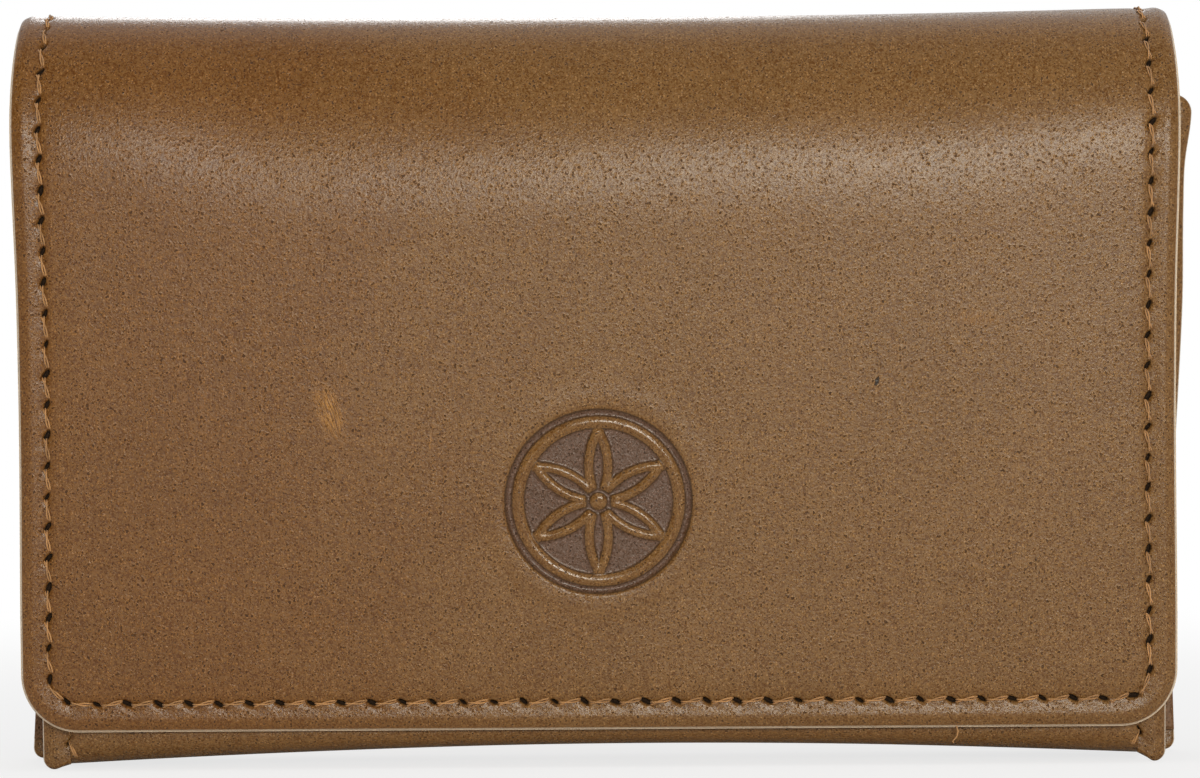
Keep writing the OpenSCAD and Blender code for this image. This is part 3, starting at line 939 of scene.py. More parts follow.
def leather_nodes(nodes, tone, colours, flap=None, matt=0.0):
    """Waxed calf leather: pores with raised rims painted pale as a painted highlight, fine grain, awl holes darkened
    with painted shade, and rubbed edges.
    """
    hide = nodes.attribute("hide")
    marks = nodes.parts(nodes.attribute("marks"))
    hole, stamp, edge = marks, marks.out(1), marks.out(2)
    clouds = nodes.noise(hide, 0.06, 2.0)
    mottle = nodes.noise(hide, 0.55, 3.0, 0.6)
    slanting = nodes.stretch(hide, (1, 1, 1), (3.1, 7.3, 0.37), 0.6)
    grain = nodes.noise(slanting, 2.0, 3.0, 0.6)
    fine = nodes.noise(slanting, 4.3, 2.0, 0.55)
    ragged = (fine - 0.5) * 3.2
    big, big_rim = pore_layer(nodes, hide, 1.4, 0.28, ragged)
    small, small_rim = pore_layer(nodes, hide, 2.7, 0.4, ragged)
    shifted = nodes.stretch(hide, (1, 1, 1), (40.3, 21.7, 0))
    specks = pore_layer(nodes, shifted, 2.6, 0.42, ragged)[0]
    tint = nodes.mix(nodes.step(clouds, 0.3, 0.7), shade(tone, 0.96), shade(tone, 1.04))
    light = nodes.mix(nodes.step(mottle, 0.3, 0.7), (1.28, 1.46, 1.85), (1.3, 1.5, 2.0))
    dark = nodes.mix(nodes.step(mottle, 0.3, 0.7), (0.73, 0.61, 0.36), (0.75, 0.62, 0.34))
    level = nodes.step(fine * 0.92 + grain * 0.08, 0.42, 0.58)
    tint = nodes.multiply(tint, nodes.mix(level, dark, light))
    # Rims round the pores: raised in the bump, and painted pale as a painted highlight of their lit edges
    rims_and_painted_highlight = big_rim * 0.6 + small_rim * 0.45
    tint = nodes.mix(rims_and_painted_highlight, tint, shade(tone, 1.6, 1.75, 2.1))
    tint = nodes.mix(specks * 0.8, tint, shade(tone, 2.2, 2.6, 3.6))
    tint = nodes.mix(big * 0.75, tint, shade(tone, 0.3, 0.25, 0.16))
    tint = nodes.mix(small * 0.75, tint, shade(tone, 0.38, 0.32, 0.2))
    rough = 0.235 + matt + clouds * 0.03 + grain * 0.06 + big * 0.3
    bump_height = grain * 0.15 + fine * 0.6 - big * 0.8 - small * 0.6 + rims_and_painted_highlight * 0.4 + specks * 0.4
    if flap:
        crest = nodes.step(stamp, -0.45, -0.9)
        tint, bump_height = flap_shade_and_marks(nodes, hide, clouds, flap, tone, tint, bump_height)
        tint = stamp_colour_and_shade(nodes, stamp, tone, colours, tint)
        bump_height = bump_height * (1 - crest * 0.6)
        rough = rough - crest * 0.15
    rubbed = nodes.step(edge + (mottle - 0.5) * 0.5, 0.3, 1.0)
    tint = nodes.mix(rubbed * 0.45, tint, shade(tone, 1.5, 1.5, 1.45))
    raw = nodes.step(edge + (grain - 0.5) * 0.5, 1.05, 1.4)
    tint = nodes.mix(raw * 0.92, tint, colours.raw_edge)
    # Painted shade: the awl slits are darkened to near black for the shade inside them
    tint = nodes.mix(nodes.step(hole, 0.1, 0.8), tint, shade(tone, 0.11))
    rough = rough + nodes.step(hole, 0.1, 0.6) * 0.5
    bump = nodes.bump(bump_height, 0.000062, 0.85)
    return {"Base Color": tint, "Roughness": rough, "Specular IOR Level": 0.4, "Normal": bump}


def flap_shade_and_marks(nodes, hide, clouds, flap, tone, tint, height):
    """Painted shade on the flap's left side, which is darker and more saturated, and the flap's scuffs and its nick.
    """
    # Painted shade: the left side of the flap is darkened and made more saturated, standing in for weaker reflected
    # light there
    left_painted_shade = nodes.step(nodes.parts(hide) + (clouds - 0.5) * 60, 5, -55)
    tint = nodes.multiply(tint, nodes.mix(left_painted_shade, (1.0, 1.0, 1.0), (0.92, 0.8, 0.63)))
    return scuffs(nodes, hide, flap, tone, tint, height)


def stamp_colour_and_shade(nodes, stamp, tone, colours, tint):
    """The colour of the stamp's sunk field, with painted shade as a darker line at the foot of its ridges."""
    ratio = tuple(a / b for a, b in zip(colours.stamped, colours.leather))
    field = nodes.mix(nodes.step(stamp, 0.15, 0.85), (1.0, 1.0, 1.0), ratio)
    tint = nodes.multiply(tint, field)
    # Painted shade: a dark line in the crease at the foot of each ridge
    foot = nodes.step(stamp, 0.12, 0.4) * nodes.step(stamp, 0.95, 0.65)
    return nodes.mix(foot * 0.7, tint, shade(tone, 0.3))


def pore_layer(nodes, hide, scale, size, ragged):
    """Small uneven dots of mixed sizes, one in each cell of the hide, and a ring round each dot."""
    cell = nodes.cells(hide, scale)
    chance = nodes.add("ShaderNodeSeparateColor", {}, (cell.out("Color"),))
    near = cell / (chance * size + 0.02) + ragged
    dot = nodes.step(near, 1.1, 0.5)
    return dot, nodes.step(near, 2.2, 1.3) - dot


# Rubbed spots of the flap: distance right and height, half width and half length, slant, strength
SCUFFS = (
    ((-35.3, 47.1), (2.0, 4.4), -0.35, 1.0),
    ((50.0, 58.5), (4.2, 1.1), 0.1, 0.35),
    ((-22.0, 42.9), (0.28, 1.6), 0.0, 0.6),
)
NICK = (36.9, 50.4)


def scuffs(nodes, hide, flap, tone, tint, height):
    """Fine scratches in a few rubbed spots, and one dark nick."""
    for (x, z), (wide, long), slant, strength in SCUFFS:
        s = flap.length_at(z)
        local = nodes.stretch(hide, (wide, long, 1e3), (x, s, 0), slant)
        spot = nodes.length(local)
        lines = nodes.stretch(hide, (0.16, 2.2, 9), (x, s, 0), slant)
        scratch = nodes.step(nodes.noise(lines, 1.0, 2.0, 0.6), 0.44, 0.58)
        mask = nodes.step(spot, 1.1, 0.35) * scratch * strength
        tint = nodes.mix(mask, tint, shade(tone, 2.4, 2.4, 1.9))
        height = height + mask * 0.4
    place = (NICK[0], flap.length_at(NICK[1]), 0)
    nick = nodes.length(nodes.stretch(hide, (0.26, 0.62, 1e3), place, 0.35))
    ragged = nick + (nodes.noise(hide, 2.6, 1.0) - 0.5) * 1.4
    nick = nodes.step(ragged, 1.1, 0.8)
    tint = nodes.mix(nick * 0.95, tint, shade(tone, 0.1))
    return tint, height - nick * 2.5


def suede_nodes(nodes, tone):
    """Napped suede: soft clouds and a short felted nap."""
    hide = nodes.attribute("hide")
    clouds = nodes.noise(hide, 0.07, 3.0, 0.6)
    nap = nodes.noise(nodes.stretch(hide, (0.25, 0.6, 0.3)), 1.0, 4.0, 0.7, 0.4)
    tint = nodes.mix(nodes.step(clouds, 0.3, 0.7), shade(tone, 0.84), shade(tone, 1.08))
    tint = nodes.mix(nodes.step(nap, 0.35, 0.7) * 0.5, tint, shade(tone, 1.25))
    return {
        "Base Color": tint,
        "Roughness": 0.85 + nap * 0.1,
        "Sheen Weight": 0.25,
        "Sheen Roughness": 0.4,
        "Specular IOR Level": 0.2,
        "Normal": nodes.bump(nap + clouds, 0.00012, 0.7),
    }


def board_nodes(nodes, tone):
    """Grey-brown fibre board with flecks."""
    place = nodes.place()
    fibre = nodes.noise(nodes.stretch(place, (0.004, 0.0006, 0.0012)), 1.0, 4.0, 0.65)
    fleck = nodes.noise(place, 1800.0, 2.0)
    tint = nodes.mix(nodes.step(fibre, 0.35, 0.65), shade(tone, 0.85), shade(tone, 1.12))
    tint = nodes.mix(nodes.step(fleck, 0.62, 0.7) * 0.6, tint, shade(tone, 0.5))
    return {
        "Base Color": tint,
        "Roughness": 0.8 + fibre * 0.15,
        "Normal": nodes.bump(fibre + fleck * 0.4, 0.0001, 0.5),
    }


def metal_nodes(nodes, tone, roughness):
    """Plated or plain steel with a fine brushed grain and a few marks."""
    place = nodes.place()
    brushed = nodes.noise(nodes.stretch(place, (0.004, 0.0002, 0.0002)), 1.0, 3.0)
    worn = nodes.noise(place, 400.0, 3.0)
    tint = nodes.mix(nodes.step(worn, 0.4, 0.7), shade(tone, 0.9), shade(tone, 1.05))
    return {
        "Base Color": tint,
        "Metallic": 1.0,
        "Roughness": roughness + brushed * 0.12 + nodes.step(worn, 0.5, 0.7) * 0.1,
        "Normal": nodes.bump(brushed, 0.00002, 0.3),
    }


def thread_nodes(nodes, tone):
    """Waxed linen thread: fine fibres, paler where it is rubbed."""
    place = nodes.place()
    fibre = nodes.noise(place, 5200.0, 3.0, 0.7)
    worn = nodes.noise(place, 320.0, 2.0)
    tint = nodes.mix(nodes.step(worn, 0.35, 0.7), shade(tone, 0.72), shade(tone, 1.12))
    tint = nodes.mix(nodes.step(fibre, 0.4, 0.7) * 0.45, tint, shade(tone, 1.35))
    return {
        "Base Color": tint,
        "Roughness": 0.45 + fibre * 0.2,
        "Sheen Weight": 0.2,
        "Normal": nodes.bump(fibre, 0.00003, 0.5),
    }


# The kind of each finish, its colour, and what else its kind has to know
FINISHES = {
    "cover_leather": (leather_nodes, "leather", {}),
    "wall_leather": (leather_nodes, "leather", {}),
    "gusset_leather": (leather_nodes, "gusset", {"matt": 0.2}),
    "facing_leather": (leather_nodes, "facing", {"matt": 0.3}),
    "pocket_suede": (suede_nodes, "suede", {}),
    "fibre_board": (board_nodes, "board", {}),
    "keeper_steel": (metal_nodes, (0.42, 0.4, 0.38), {"roughness": 0.3}),
    "magnet_nickel": (metal_nodes, (0.66, 0.62, 0.56), {"roughness": 0.18}),
    "linen_thread": (thread_nodes, "thread", {}),
}


# The materials made so far, by their finish's name
MADE = {}


def finish(context, name):
    """The material of a name, made the first time it is asked for."""
    if name in MADE:
        return MADE[name]
    kind, tone, more = FINISHES[name]
    colours = context.scene.flap_case_colours
    if isinstance(tone, str):
        tone = getattr(colours, tone)
    if kind == leather_nodes:
        more = {"colours": colours, **more}
    if name == "cover_leather":
        more["flap"] = Case(context).flap
    material, nodes = finish_of(name, tone)
    shader = nodes.add("ShaderNodeBsdfPrincipled", {}, kind(nodes, tone, **more))
    nodes.end("ShaderNodeOutputMaterial", shader)
    MADE[name] = material
    return material


def dress(context, item, finish_name, slot=None):
    """Gives a piece its finish and names the record's slot for it."""
    item.data.materials.clear()
    item.data.materials.append(finish(context, finish_name))
    if slot:
        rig.slot(item, slot)


# Where the leather starts to bend with each hinge, and where it ends
BEND_FOOT = 0.078
TOP_FOLD = {"start": (0, HALF_DEPTH * MM, BEND_FOOT), "end": (0, 0, TOP * MM)}
FLAP_FOLD = {"start": (0, 0, TOP * MM), "end": (0, -HALF_DEPTH * MM, BEND_FOOT)}


# ---------- the rosette ----------


def rosette(case, x, y):
    """Height of the stamped rosette and how far its sunk field is darkened."""
    out = case.rosette_r
    r = np.hypot(x, y)
    petal_r = out - 3.3
    floor = -0.46 * ease((out - r) / 0.9)
    ring = np.sqrt(ease(1 - abs(r - (out - 2.1)) / 0.95))
    ridge = np.zeros_like(r)
    for turn in np.arange(6) * math.pi / 3:
        away = np.hypot(x - petal_r * np.sin(turn), y - petal_r * np.cos(turn))
        ridge = np.maximum(ridge, np.sqrt(ease(1 - abs(away - petal_r) / 0.72)))
    ridge = ridge * ease((petal_r + 0.5 - r) / 0.4) * ease((r - 1.3) / 0.8)
    boss = np.sqrt(ease((1.25 - r) / 0.75))
    raised = np.maximum(np.maximum(ridge, ring), boss)
    pillow = 0.06 * np.exp(-(((r - out - 1.3) / 1.3) ** 2))
    sunk = ease((out - 0.1 - r) / 0.6) * (1 - raised)
    return floor + pillow + 0.42 * raised, sunk - raised


# ---------- the operators ----------


class FLAPCASE_OT_flap_leather(bpy.types.Operator):
    """Outer leather of the flap, from the middle of the crown to its foot"""

    bl_idname = "flap_case.flap_leather"
    bl_label = "Flap leather"

    def execute(self, context):
        case = Case(context)
        centre = case.flap.length_at(ROSETTE_HEIGHT)

        def face(X, S):
            across = X / HALF_WIDTH * through(S, FLAP_HALF)
            return rosette(case, across - 0.1, S - centre)

        reach = case.rosette_r + 1.6
        xs = steps(-80, (-reach - 4, 1.0), (-reach, 0.6), (reach, 0.2), (reach + 4, 0.6), (80, 1.0))
        ss = steps(0, (centre - reach - 4, 0.8), (centre - reach, 0.6), (centre + reach, 0.2))
        ss = np.append(ss, steps(centre + reach, (centre + reach + 4, 0.6), (110, 0.8))[1:])
        rows = hem_rows(case.leather)
        item, seam = flap_sheet(context, case, "flap_cover_leather", face, rows, xs, ss, 1)
        dress(context, item, "cover_leather", "outer_leather")
        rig.blend(item, "top", "flap", **FLAP_FOLD)
        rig.replaces(item, "flap_leather", "crown_leather")
        sew(context, seam, "flap_stitches", 0, seam.count, -0.1, ("top", "flap", FLAP_FOLD))
        end = cover_place(case, TAIL_X, case.flap.total - 0.1, -1.2)
        tail = loose_thread(context, "thread_tail", end + TAIL, 0.09 * MM)
        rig.ride(tail, "flap")
        return {"FINISHED"}


ROSETTE_HEIGHT = 35
# The loose end of thread: how far right it hangs, and its path from there
TAIL_X = 47.2
TAIL = np.array(
    (
        (0, 0, 0.7), (0, -0.25, 0.1), (0.2, -0.5, -0.6),
        (0.05, -0.4, -1.3), (-0.5, -0.3, -1.9), (-0.35, -0.3, -2.1),
    )
)


def sew(context, seam, name, first, last, rise, hold=None, inside=False, lean=1):
    """Sews a seam between two of its stitches. The thread blends with hold, or rides the body."""
    guide, count = seam.guide(name + "_line", first, last, rise, inside)
    thread = sew_along(context, guide, count, name, seam.pitch, -lean if inside else lean)
    dress(context, thread, "linen_thread", "thread")
    if hold:
        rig.blend(thread, hold[0], hold[1], **hold[2])
    else:
        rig.ride(thread, "body")


def loose_thread(context, name, points, radius):
    """A single thread through a few points, in millimetres."""
    line = bpy.data.curves.new(name, "CURVE")
    line.dimensions = "3D"
    line.bevel_depth = radius
    line.bevel_resolution = 1
    line.use_fill_caps = True
    spline = line.splines.new("POLY")
    spline.points.add(len(points) - 1)
    for knot, point in zip(spline.points, points):
        knot.co = (*(point * MM), 1)
    thread = made_plain(context, new_object(name + "_line", line), name)
    dress(context, thread, "linen_thread", "thread")
    return thread


def made_plain(context, guide, name):
    """Puts a plain mesh in the place of a curve or of a line that nodes work on."""
    graph = context.evaluated_depsgraph_get()
    mesh = bpy.data.meshes.new_from_object(guide.evaluated_get(graph))
    mesh.name = name
    bpy.data.objects.remove(guide)
    return new_object(name, mesh)


# ---------- stitches as geometry nodes ----------

STITCH_INPUTS = {
    "Stitches": "Int", "Length": "Float", "Slant": "Float", "Rise": "Float", "Dive": "Float",
    "Strand radius": "Float", "Turns": "Float", "Wander": "Float", "Seed": "Int",
    "Thread": "Material",
}
STRAND_POINTS = 9
STRAND_SIDES = 4


def strand(nodes, given, phase):
    """One of the two twisted strands of a stitch, which dives into the slits at its ends."""
    half = given["Length"] * 0.5
    ends = [nodes.add("ShaderNodeCombineXYZ", {}, (x, 0.0, 0.0)) for x in (-half, half)]
    line = nodes.add("GeometryNodeCurvePrimitiveLine", {}, {"Start": ends[0], "End": ends[1]})
    line = nodes.add("GeometryNodeResampleCurve", {}, {"Curve": line, "Count": STRAND_POINTS})
    t = nodes.add("GeometryNodeSplineParameter", {})
    side = t * 2 - 1
    turn = t * given["Turns"] * (2 * math.pi) + phase
    radius = given["Strand radius"]
    fall = side.math("ABSOLUTE") ** 5
    x = -side * fall * radius * 1.5
    y = side * given["Slant"] + turn.math("COSINE") * radius * 1.35
    level = given["Rise"] - fall * (given["Rise"] + given["Dive"])
    offset = nodes.add("ShaderNodeCombineXYZ", {}, (x, y, level + turn.math("SINE") * radius))
    line = nodes.add("GeometryNodeSetPosition", {}, {"Geometry": line, "Offset": offset})
    values = {"Resolution": STRAND_SIDES, "Radius": radius * 0.95}
    rim = nodes.add("GeometryNodeCurvePrimitiveCircle", {}, values)
    values = {"Curve": line, "Profile Curve": rim, "Fill Caps": True}
    return nodes.add("GeometryNodeCurveToMesh", {}, values)


def stitch_tree():
    """Geometry nodes that sew evenly spaced stitches along a line, out of the leather."""
    tree = bpy.data.node_groups.new("sewn_stitches", "GeometryNodeTree")
    for name, kind in {"Geometry": "Geometry", **STITCH_INPUTS}.items():
        tree.interface.new_socket(name, in_out="INPUT", socket_type="NodeSocket" + kind)
    tree.interface.new_socket("Geometry", in_out="OUTPUT", socket_type="NodeSocketGeometry")
    nodes = Builder(tree)
    source = nodes.add("NodeGroupInput")
    given = {name: source.out(name) for name in STITCH_INPUTS}
    line = nodes.add("GeometryNodeMeshToCurve", {}, {"Mesh": source.out("Geometry")})
    line = nodes.add("GeometryNodeResampleCurve", {}, {"Curve": line, "Count": given["Stitches"]})
    vector = {"data_type": "FLOAT_VECTOR"}
    out = nodes.add("GeometryNodeInputNamedAttribute", vector, {"Name": "out"})
    tangent = nodes.add("GeometryNodeInputTangent")
    axes = {"primary_axis": "Z", "secondary_axis": "X"}
    values = {"Primary Axis": out, "Secondary Axis": tangent}
    rotation = nodes.add("FunctionNodeAxesToRotation", axes, values)
    values = {"Min": -given["Wander"], "Max": given["Wander"], "Seed": given["Seed"]}
    wander = nodes.add("FunctionNodeRandomValue", {"data_type": "FLOAT"}, values, 1)
    turned = nodes.add("ShaderNodeCombineXYZ", {}, (0.0, 0.0, wander))
    values = {"Rotation": rotation, "Rotate By": turned}
    rotation = nodes.add("FunctionNodeRotateRotation", {"rotation_space": "LOCAL"}, values)
    both = nodes.add("GeometryNodeJoinGeometry")
    for phase in (0.0, math.pi):
        tree.links.new(strand(nodes, given, phase).socket, both.socket.node.inputs[0])
    values = {"Points": line, "Instance": both, "Rotation": rotation}
    sewn = nodes.add("GeometryNodeInstanceOnPoints", {}, values)
    sewn = nodes.add("GeometryNodeRealizeInstances", {}, {"Geometry": sewn})
    sewn = nodes.add("GeometryNodeSetShadeSmooth", {}, {"Geometry": sewn})
    values = {"Geometry": sewn, "Material": given["Thread"]}
    sewn = nodes.add("GeometryNodeSetMaterial", {}, values)
    nodes.add("NodeGroupOutput", {}, (sewn,))
    return tree


def sew_along(context, guide, count, name, pitch, lean):
    """Runs the stitch nodes on a guide line and keeps their result as a plain mesh."""
    stitch = context.scene.flap_case_stitches
    tree = bpy.data.node_groups.get("sewn_stitches") or stitch_tree()
    reach = stitch.slit_length / 2 * 0.8
    ahead = reach * math.cos(stitch.slit_angle)
    aside = reach * math.sin(stitch.slit_angle) * lean
    radius = stitch.thread / 4
    sizes = {
        "Stitches": count,
        "Length": pitch * MM - 2 * ahead + 2 * radius,
        "Slant": aside,
        "Rise": radius * 0.9,
        "Dive": 0.55 * MM,
        "Strand radius": radius,
        "Turns": 0.7,
        "Wander": 0.05,
        "Seed": stitch.seed,
        "Thread": finish(context, "linen_thread"),
    }
    modifier = guide.modifiers.new("stitches", "NODES")
    modifier.node_group = tree
    for socket in tree.interface.items_tree:
        if socket.in_out == "INPUT" and socket.name in sizes:
            modifier[socket.identifier] = sizes[socket.name]
    return made_plain(context, guide, name)


class FLAPCASE_OT_flap_lining(bpy.types.Operator):
    """Lining of the flap, raised over its board, with a raw edge that shows round the leather"""

    bl_idname = "flap_case.flap_lining"
    bl_label = "Flap lining"

    def execute(self, context):
        case = Case(context)
        begin = case.flap.length_at(BEND_Z) + PAD_MARGIN

        foot = case.flap.total

        def face(X, S):
            X, S = np.broadcast_arrays(X, S)
            along = np.minimum(S - begin, foot - PAD_MARGIN - S)
            raised = ease(np.minimum(HALF_WIDTH - PAD_MARGIN - abs(X), along) / PAD_BEVEL)
            away = np.hypot(abs(X) - MAGNET_X, S - (foot - MAGNET_RISE))
            disc = 0.1 * ease((MAGNET_R - away) / 1.6)
            return -case.cover - case.board * raised - disc, raised * 0

        reach = HALF_WIDTH - case.flap_corner
        bevel = reach - PAD_BEVEL - 0.6
        xs = steps(-reach, (-bevel, 0.33), (bevel, 2.2), (reach, 0.33))
        pad_foot = foot - (PAD_MARGIN + PAD_BEVEL + 1)
        ss = steps(0, (begin - 1, 1.6), (begin + PAD_BEVEL + 1, 0.4), (pad_foot, 2.2))
        ss = np.append(ss, steps(ss[-1], (foot - case.flap_corner, 0.33))[1:])
        rows = lining_rows(case)
        item, seam = flap_sheet(context, case, "flap_cover_lining", face, rows, xs, ss, -1)
        dress(context, item, "facing_leather", "facing_leather")
        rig.blend(item, "top", "flap", **FLAP_FOLD)
        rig.replaces(item, "flap_lining", "crown_lining")
        hold = ("top", "flap", FLAP_FOLD)
        sew(context, seam, "flap_inner_stitches", 0, seam.count, -case.cover, hold, True)
        return {"FINISHED"}


# The raised pad over the flap's board, and the magnets that show through the lining
PAD_MARGIN = 5.5
PAD_BEVEL = 2
MAGNET_X = 45
MAGNET_RISE = 17
MAGNET_R = 8.2


def lining_rows(case):
    """Rows of the lining's hem: its face under the cover, its raw edge and its hidden side."""
    rows = []
    for inset in HEM_ROWS:
        off = inset - HEM_EDGE
        raw = RAW * float(np.clip(1.4 - off / 0.35, 0, 1))
        press = 0.45 * float(through(inset, HEM)) if inset > 2 else 0.0
        round_off = 0.25 * max(0.0, 1 - off / 0.4) ** 2
        rows.append((off if inset < 0.5 else inset, -case.cover - press + round_off, raw))
    for inset, share in HEM_UNDER[:3]:
        rows.append((inset - HEM_EDGE, -case.leather - 0.1 * (1 - share), RAW))
    return rows + [(inset, -case.leather, 0.0) for inset, _ in HEM_UNDER[3:]]


# ---------- walls ----------

# Distances of a wall's mesh columns from the seam, in towards its middle
SEAM_STEPS = (0, 0.05, 0.13, 0.24, 0.37, 0.52, 0.7, 0.95, 1.25, 1.7, 2.4, 3.5)
# Distances from a margin's end at which its rounded corner has rows
END_STEPS = np.array((0, 0.04, 0.12, 0.25, 0.42, 0.65, 0.95, 1.35, 1.8))


def wall_columns(seam):
    inner = seam - SEAM_STEPS[-1]
    middle = steps(-inner, (inner, 4.0))
    right = seam - np.array(SEAM_STEPS[:-1])[::-1]
    return np.concatenate((-right[::-1], middle, right))


def spaced(rows, least=0.04):
    """Sorted rows without those that nearly repeat the one before."""
    rows = np.unique(np.round(rows, 4))
    return rows[np.insert(np.diff(rows) > least, 0, True)]


def wall_panel(shell, seam, case, rows, sewn, thickness, relief=lambda S: 0 * S):
    """The middle of a wall between its side seams, sewn between two lengths."""
    xs = wall_columns(seam.x)
    X, S = np.meshgrid(xs, rows)
    off = seam.x - abs(X)
    fade = ease((S - sewn[0]) / 1.5) * ease((sewn[1] - S) / 1.5)
    along = np.interp(S - seam.shift_s, seam.q, seam.along)
    press, deep = seam.pressed(along, off)
    height = (through(off + case.inset, HEM) + press) * fade + relief(S)
    outer = shell.add(X, S, height, deep * fade)
    inner = shell.add(X, S, -thickness(S))
    shell.close(outer, inner)


def wall_margin(shell, seam, case, side, rows, ends, round_start):
    """The margin outside a side seam: a strip with a rounded cut edge and rounded corners."""
    first, last = ends
    near = END_STEPS[-1] + 0.3
    rows = rows[(rows > first + near) & (rows < last - near)]
    head = first + END_STEPS if round_start else np.array((first, first + 0.05, first + 1))
    S = np.concatenate((head, rows, last - END_STEPS[::-1]))[:, None]
    profile = (*hem_rows(case.leather, SEAM_ROW), (case.inset, -case.leather, 0.0))
    d, h, worn = (np.array(column)[None, :] for column in zip(*profile))
    away = np.minimum(S - first, last - S) if round_start else last - S
    r = np.where(last - S < S - first, 0.6, 1.0) * case.ear_corner
    cut = r - np.sqrt(np.maximum(r * r - np.maximum(r - away, 0) ** 2, 0))
    X = seam.x + (case.inset - d) * (case.inset - cut) / case.inset
    thin = np.sqrt(np.clip(1 - (1 - np.clip(away / 0.6, 0.02, 1)) ** 2, 0, 1))
    along = np.interp(S - seam.start, seam.q, seam.along)
    along, off = np.broadcast_arrays(along, d - case.inset)
    press, deep = seam.pressed(along, off)
    hidden = np.arange(d.size)[None, :] >= len(HEM_ROWS) - SEAM_ROW
    middle = -case.leather / 2
    level = middle + (h + np.where(hidden, 0, press) - middle) * thin
    ids = shell.add(side * X, S, level, np.where(hidden, 0, deep), 0, worn)
    shell.grid(np.concatenate((ids, ids[:, :1]), 1))
    shell.faces += [ids[0].tolist(), ids[-1].tolist()]


def worn_edge(inset):
    """How worn a hem is at a distance from its cut edge: 1 where rubbed, more where raw."""
    off = inset - HEM_EDGE
    return float(np.clip(1 - off / 0.75, 0, 1) + 1.1 * np.clip(1 - off / 0.26, 0, 1))


def wall_seams(context, x, place, start, end, seed):
    """The two side seams of a wall, at the same distance from its middle."""
    seams = {}
    for side in (-1, 1):

        def flat(q, side=side):
            return side * x + 0 * q, q + start

        seams[side] = Seam(context, flat, end - start, place, seed + side)
        seams[side].x = x
        seams[side].start = start
        seams[side].shift_s = start
    return seams


class FLAPCASE_OT_back_leather(bpy.types.Operator):
    """Outer leather of the back: half the crown, the back wall and half the base"""

    bl_idname = "flap_case.back_leather"
    bl_label = "Back leather"

    def execute(self, context):
        case = Case(context)
        end = case.back_margin.total

        place = partial(back_place, case, section=case.back_margin)
        seams = wall_seams(context, case.back_seam, place, 0, end - SEAM_FOOT, 20)
        shell = Shell()
        margins = Shell()
        for side, seam in seams.items():
            rows = np.append((0, 0.05), seam.columns()[1])
            wall_margin(margins, seam, case, side, rows, (0, end), False)
        rows = np.concatenate((rows, steps(end - 8, (case.back.total, 0.5))))
        wall_panel(shell, seam, case, spaced(rows), (-9, end - 0.6), lambda S: case.leather + 0 * S)

        def panel_place(X, S, h):
            return back_place(case, X * base_width(case, case.back_seam, S - end), S, h)

        panel = shell.build("back_panel", panel_place, -1)
        strips = margins.build("back_margins", place, -1)
        item = join("back_cover_leather", panel, strips)
        dress(context, item, "wall_leather", "outer_leather")
        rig.blend(item, "body", "top", **TOP_FOLD)
        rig.replaces(item, "outer_wrap")
        for side, seam in seams.items():
            self.sew_side(context, case, seam, side)
        return {"FINISHED"}

    def sew_side(self, context, case, seam, side):
        """The stitches of one side: outside, under the cover's lining and inside the pocket."""
        name = "back_stitches_" + SIDE_NAMES[side]
        hold = ("body", "top", TOP_FOLD)
        below = case.leather + case.gusset
        mouth = math.ceil(case.back.length_at(case.mouth - 1) / seam.pitch)
        last = seam.count - 1
        sew(context, seam, name, 1, last, -0.1, hold, False, side)
        sew(context, seam, name + "_under_lining", 1, mouth, -case.cover, hold, True, side)
        sew(context, seam, name + "_inside", mouth, last, -below, None, True, side)


SIDE_NAMES = {-1: "left", 1: "right"}
# How far the side seams start below the front's margins, and how far all stop above the foot
SEAM_HEAD = 2.2
SEAM_FOOT = 1.2


def base_width(case, seam, beyond):
    """How far a wall's base half widens or narrows to meet the other under the base."""
    middle = (case.front_seam + case.back_seam) / 2
    return 1 + (middle / seam - 1) * ease(beyond / 12)


def join(name, *items):
    """One object from several."""
    work = bmesh.new()
    for item in items:
        work.from_mesh(item.data)
    mesh = items[0].data
    work.to_mesh(mesh)
    work.free()
    for item in items:
        bpy.data.objects.remove(item)
    mesh.name = name
    return new_object(name, mesh)


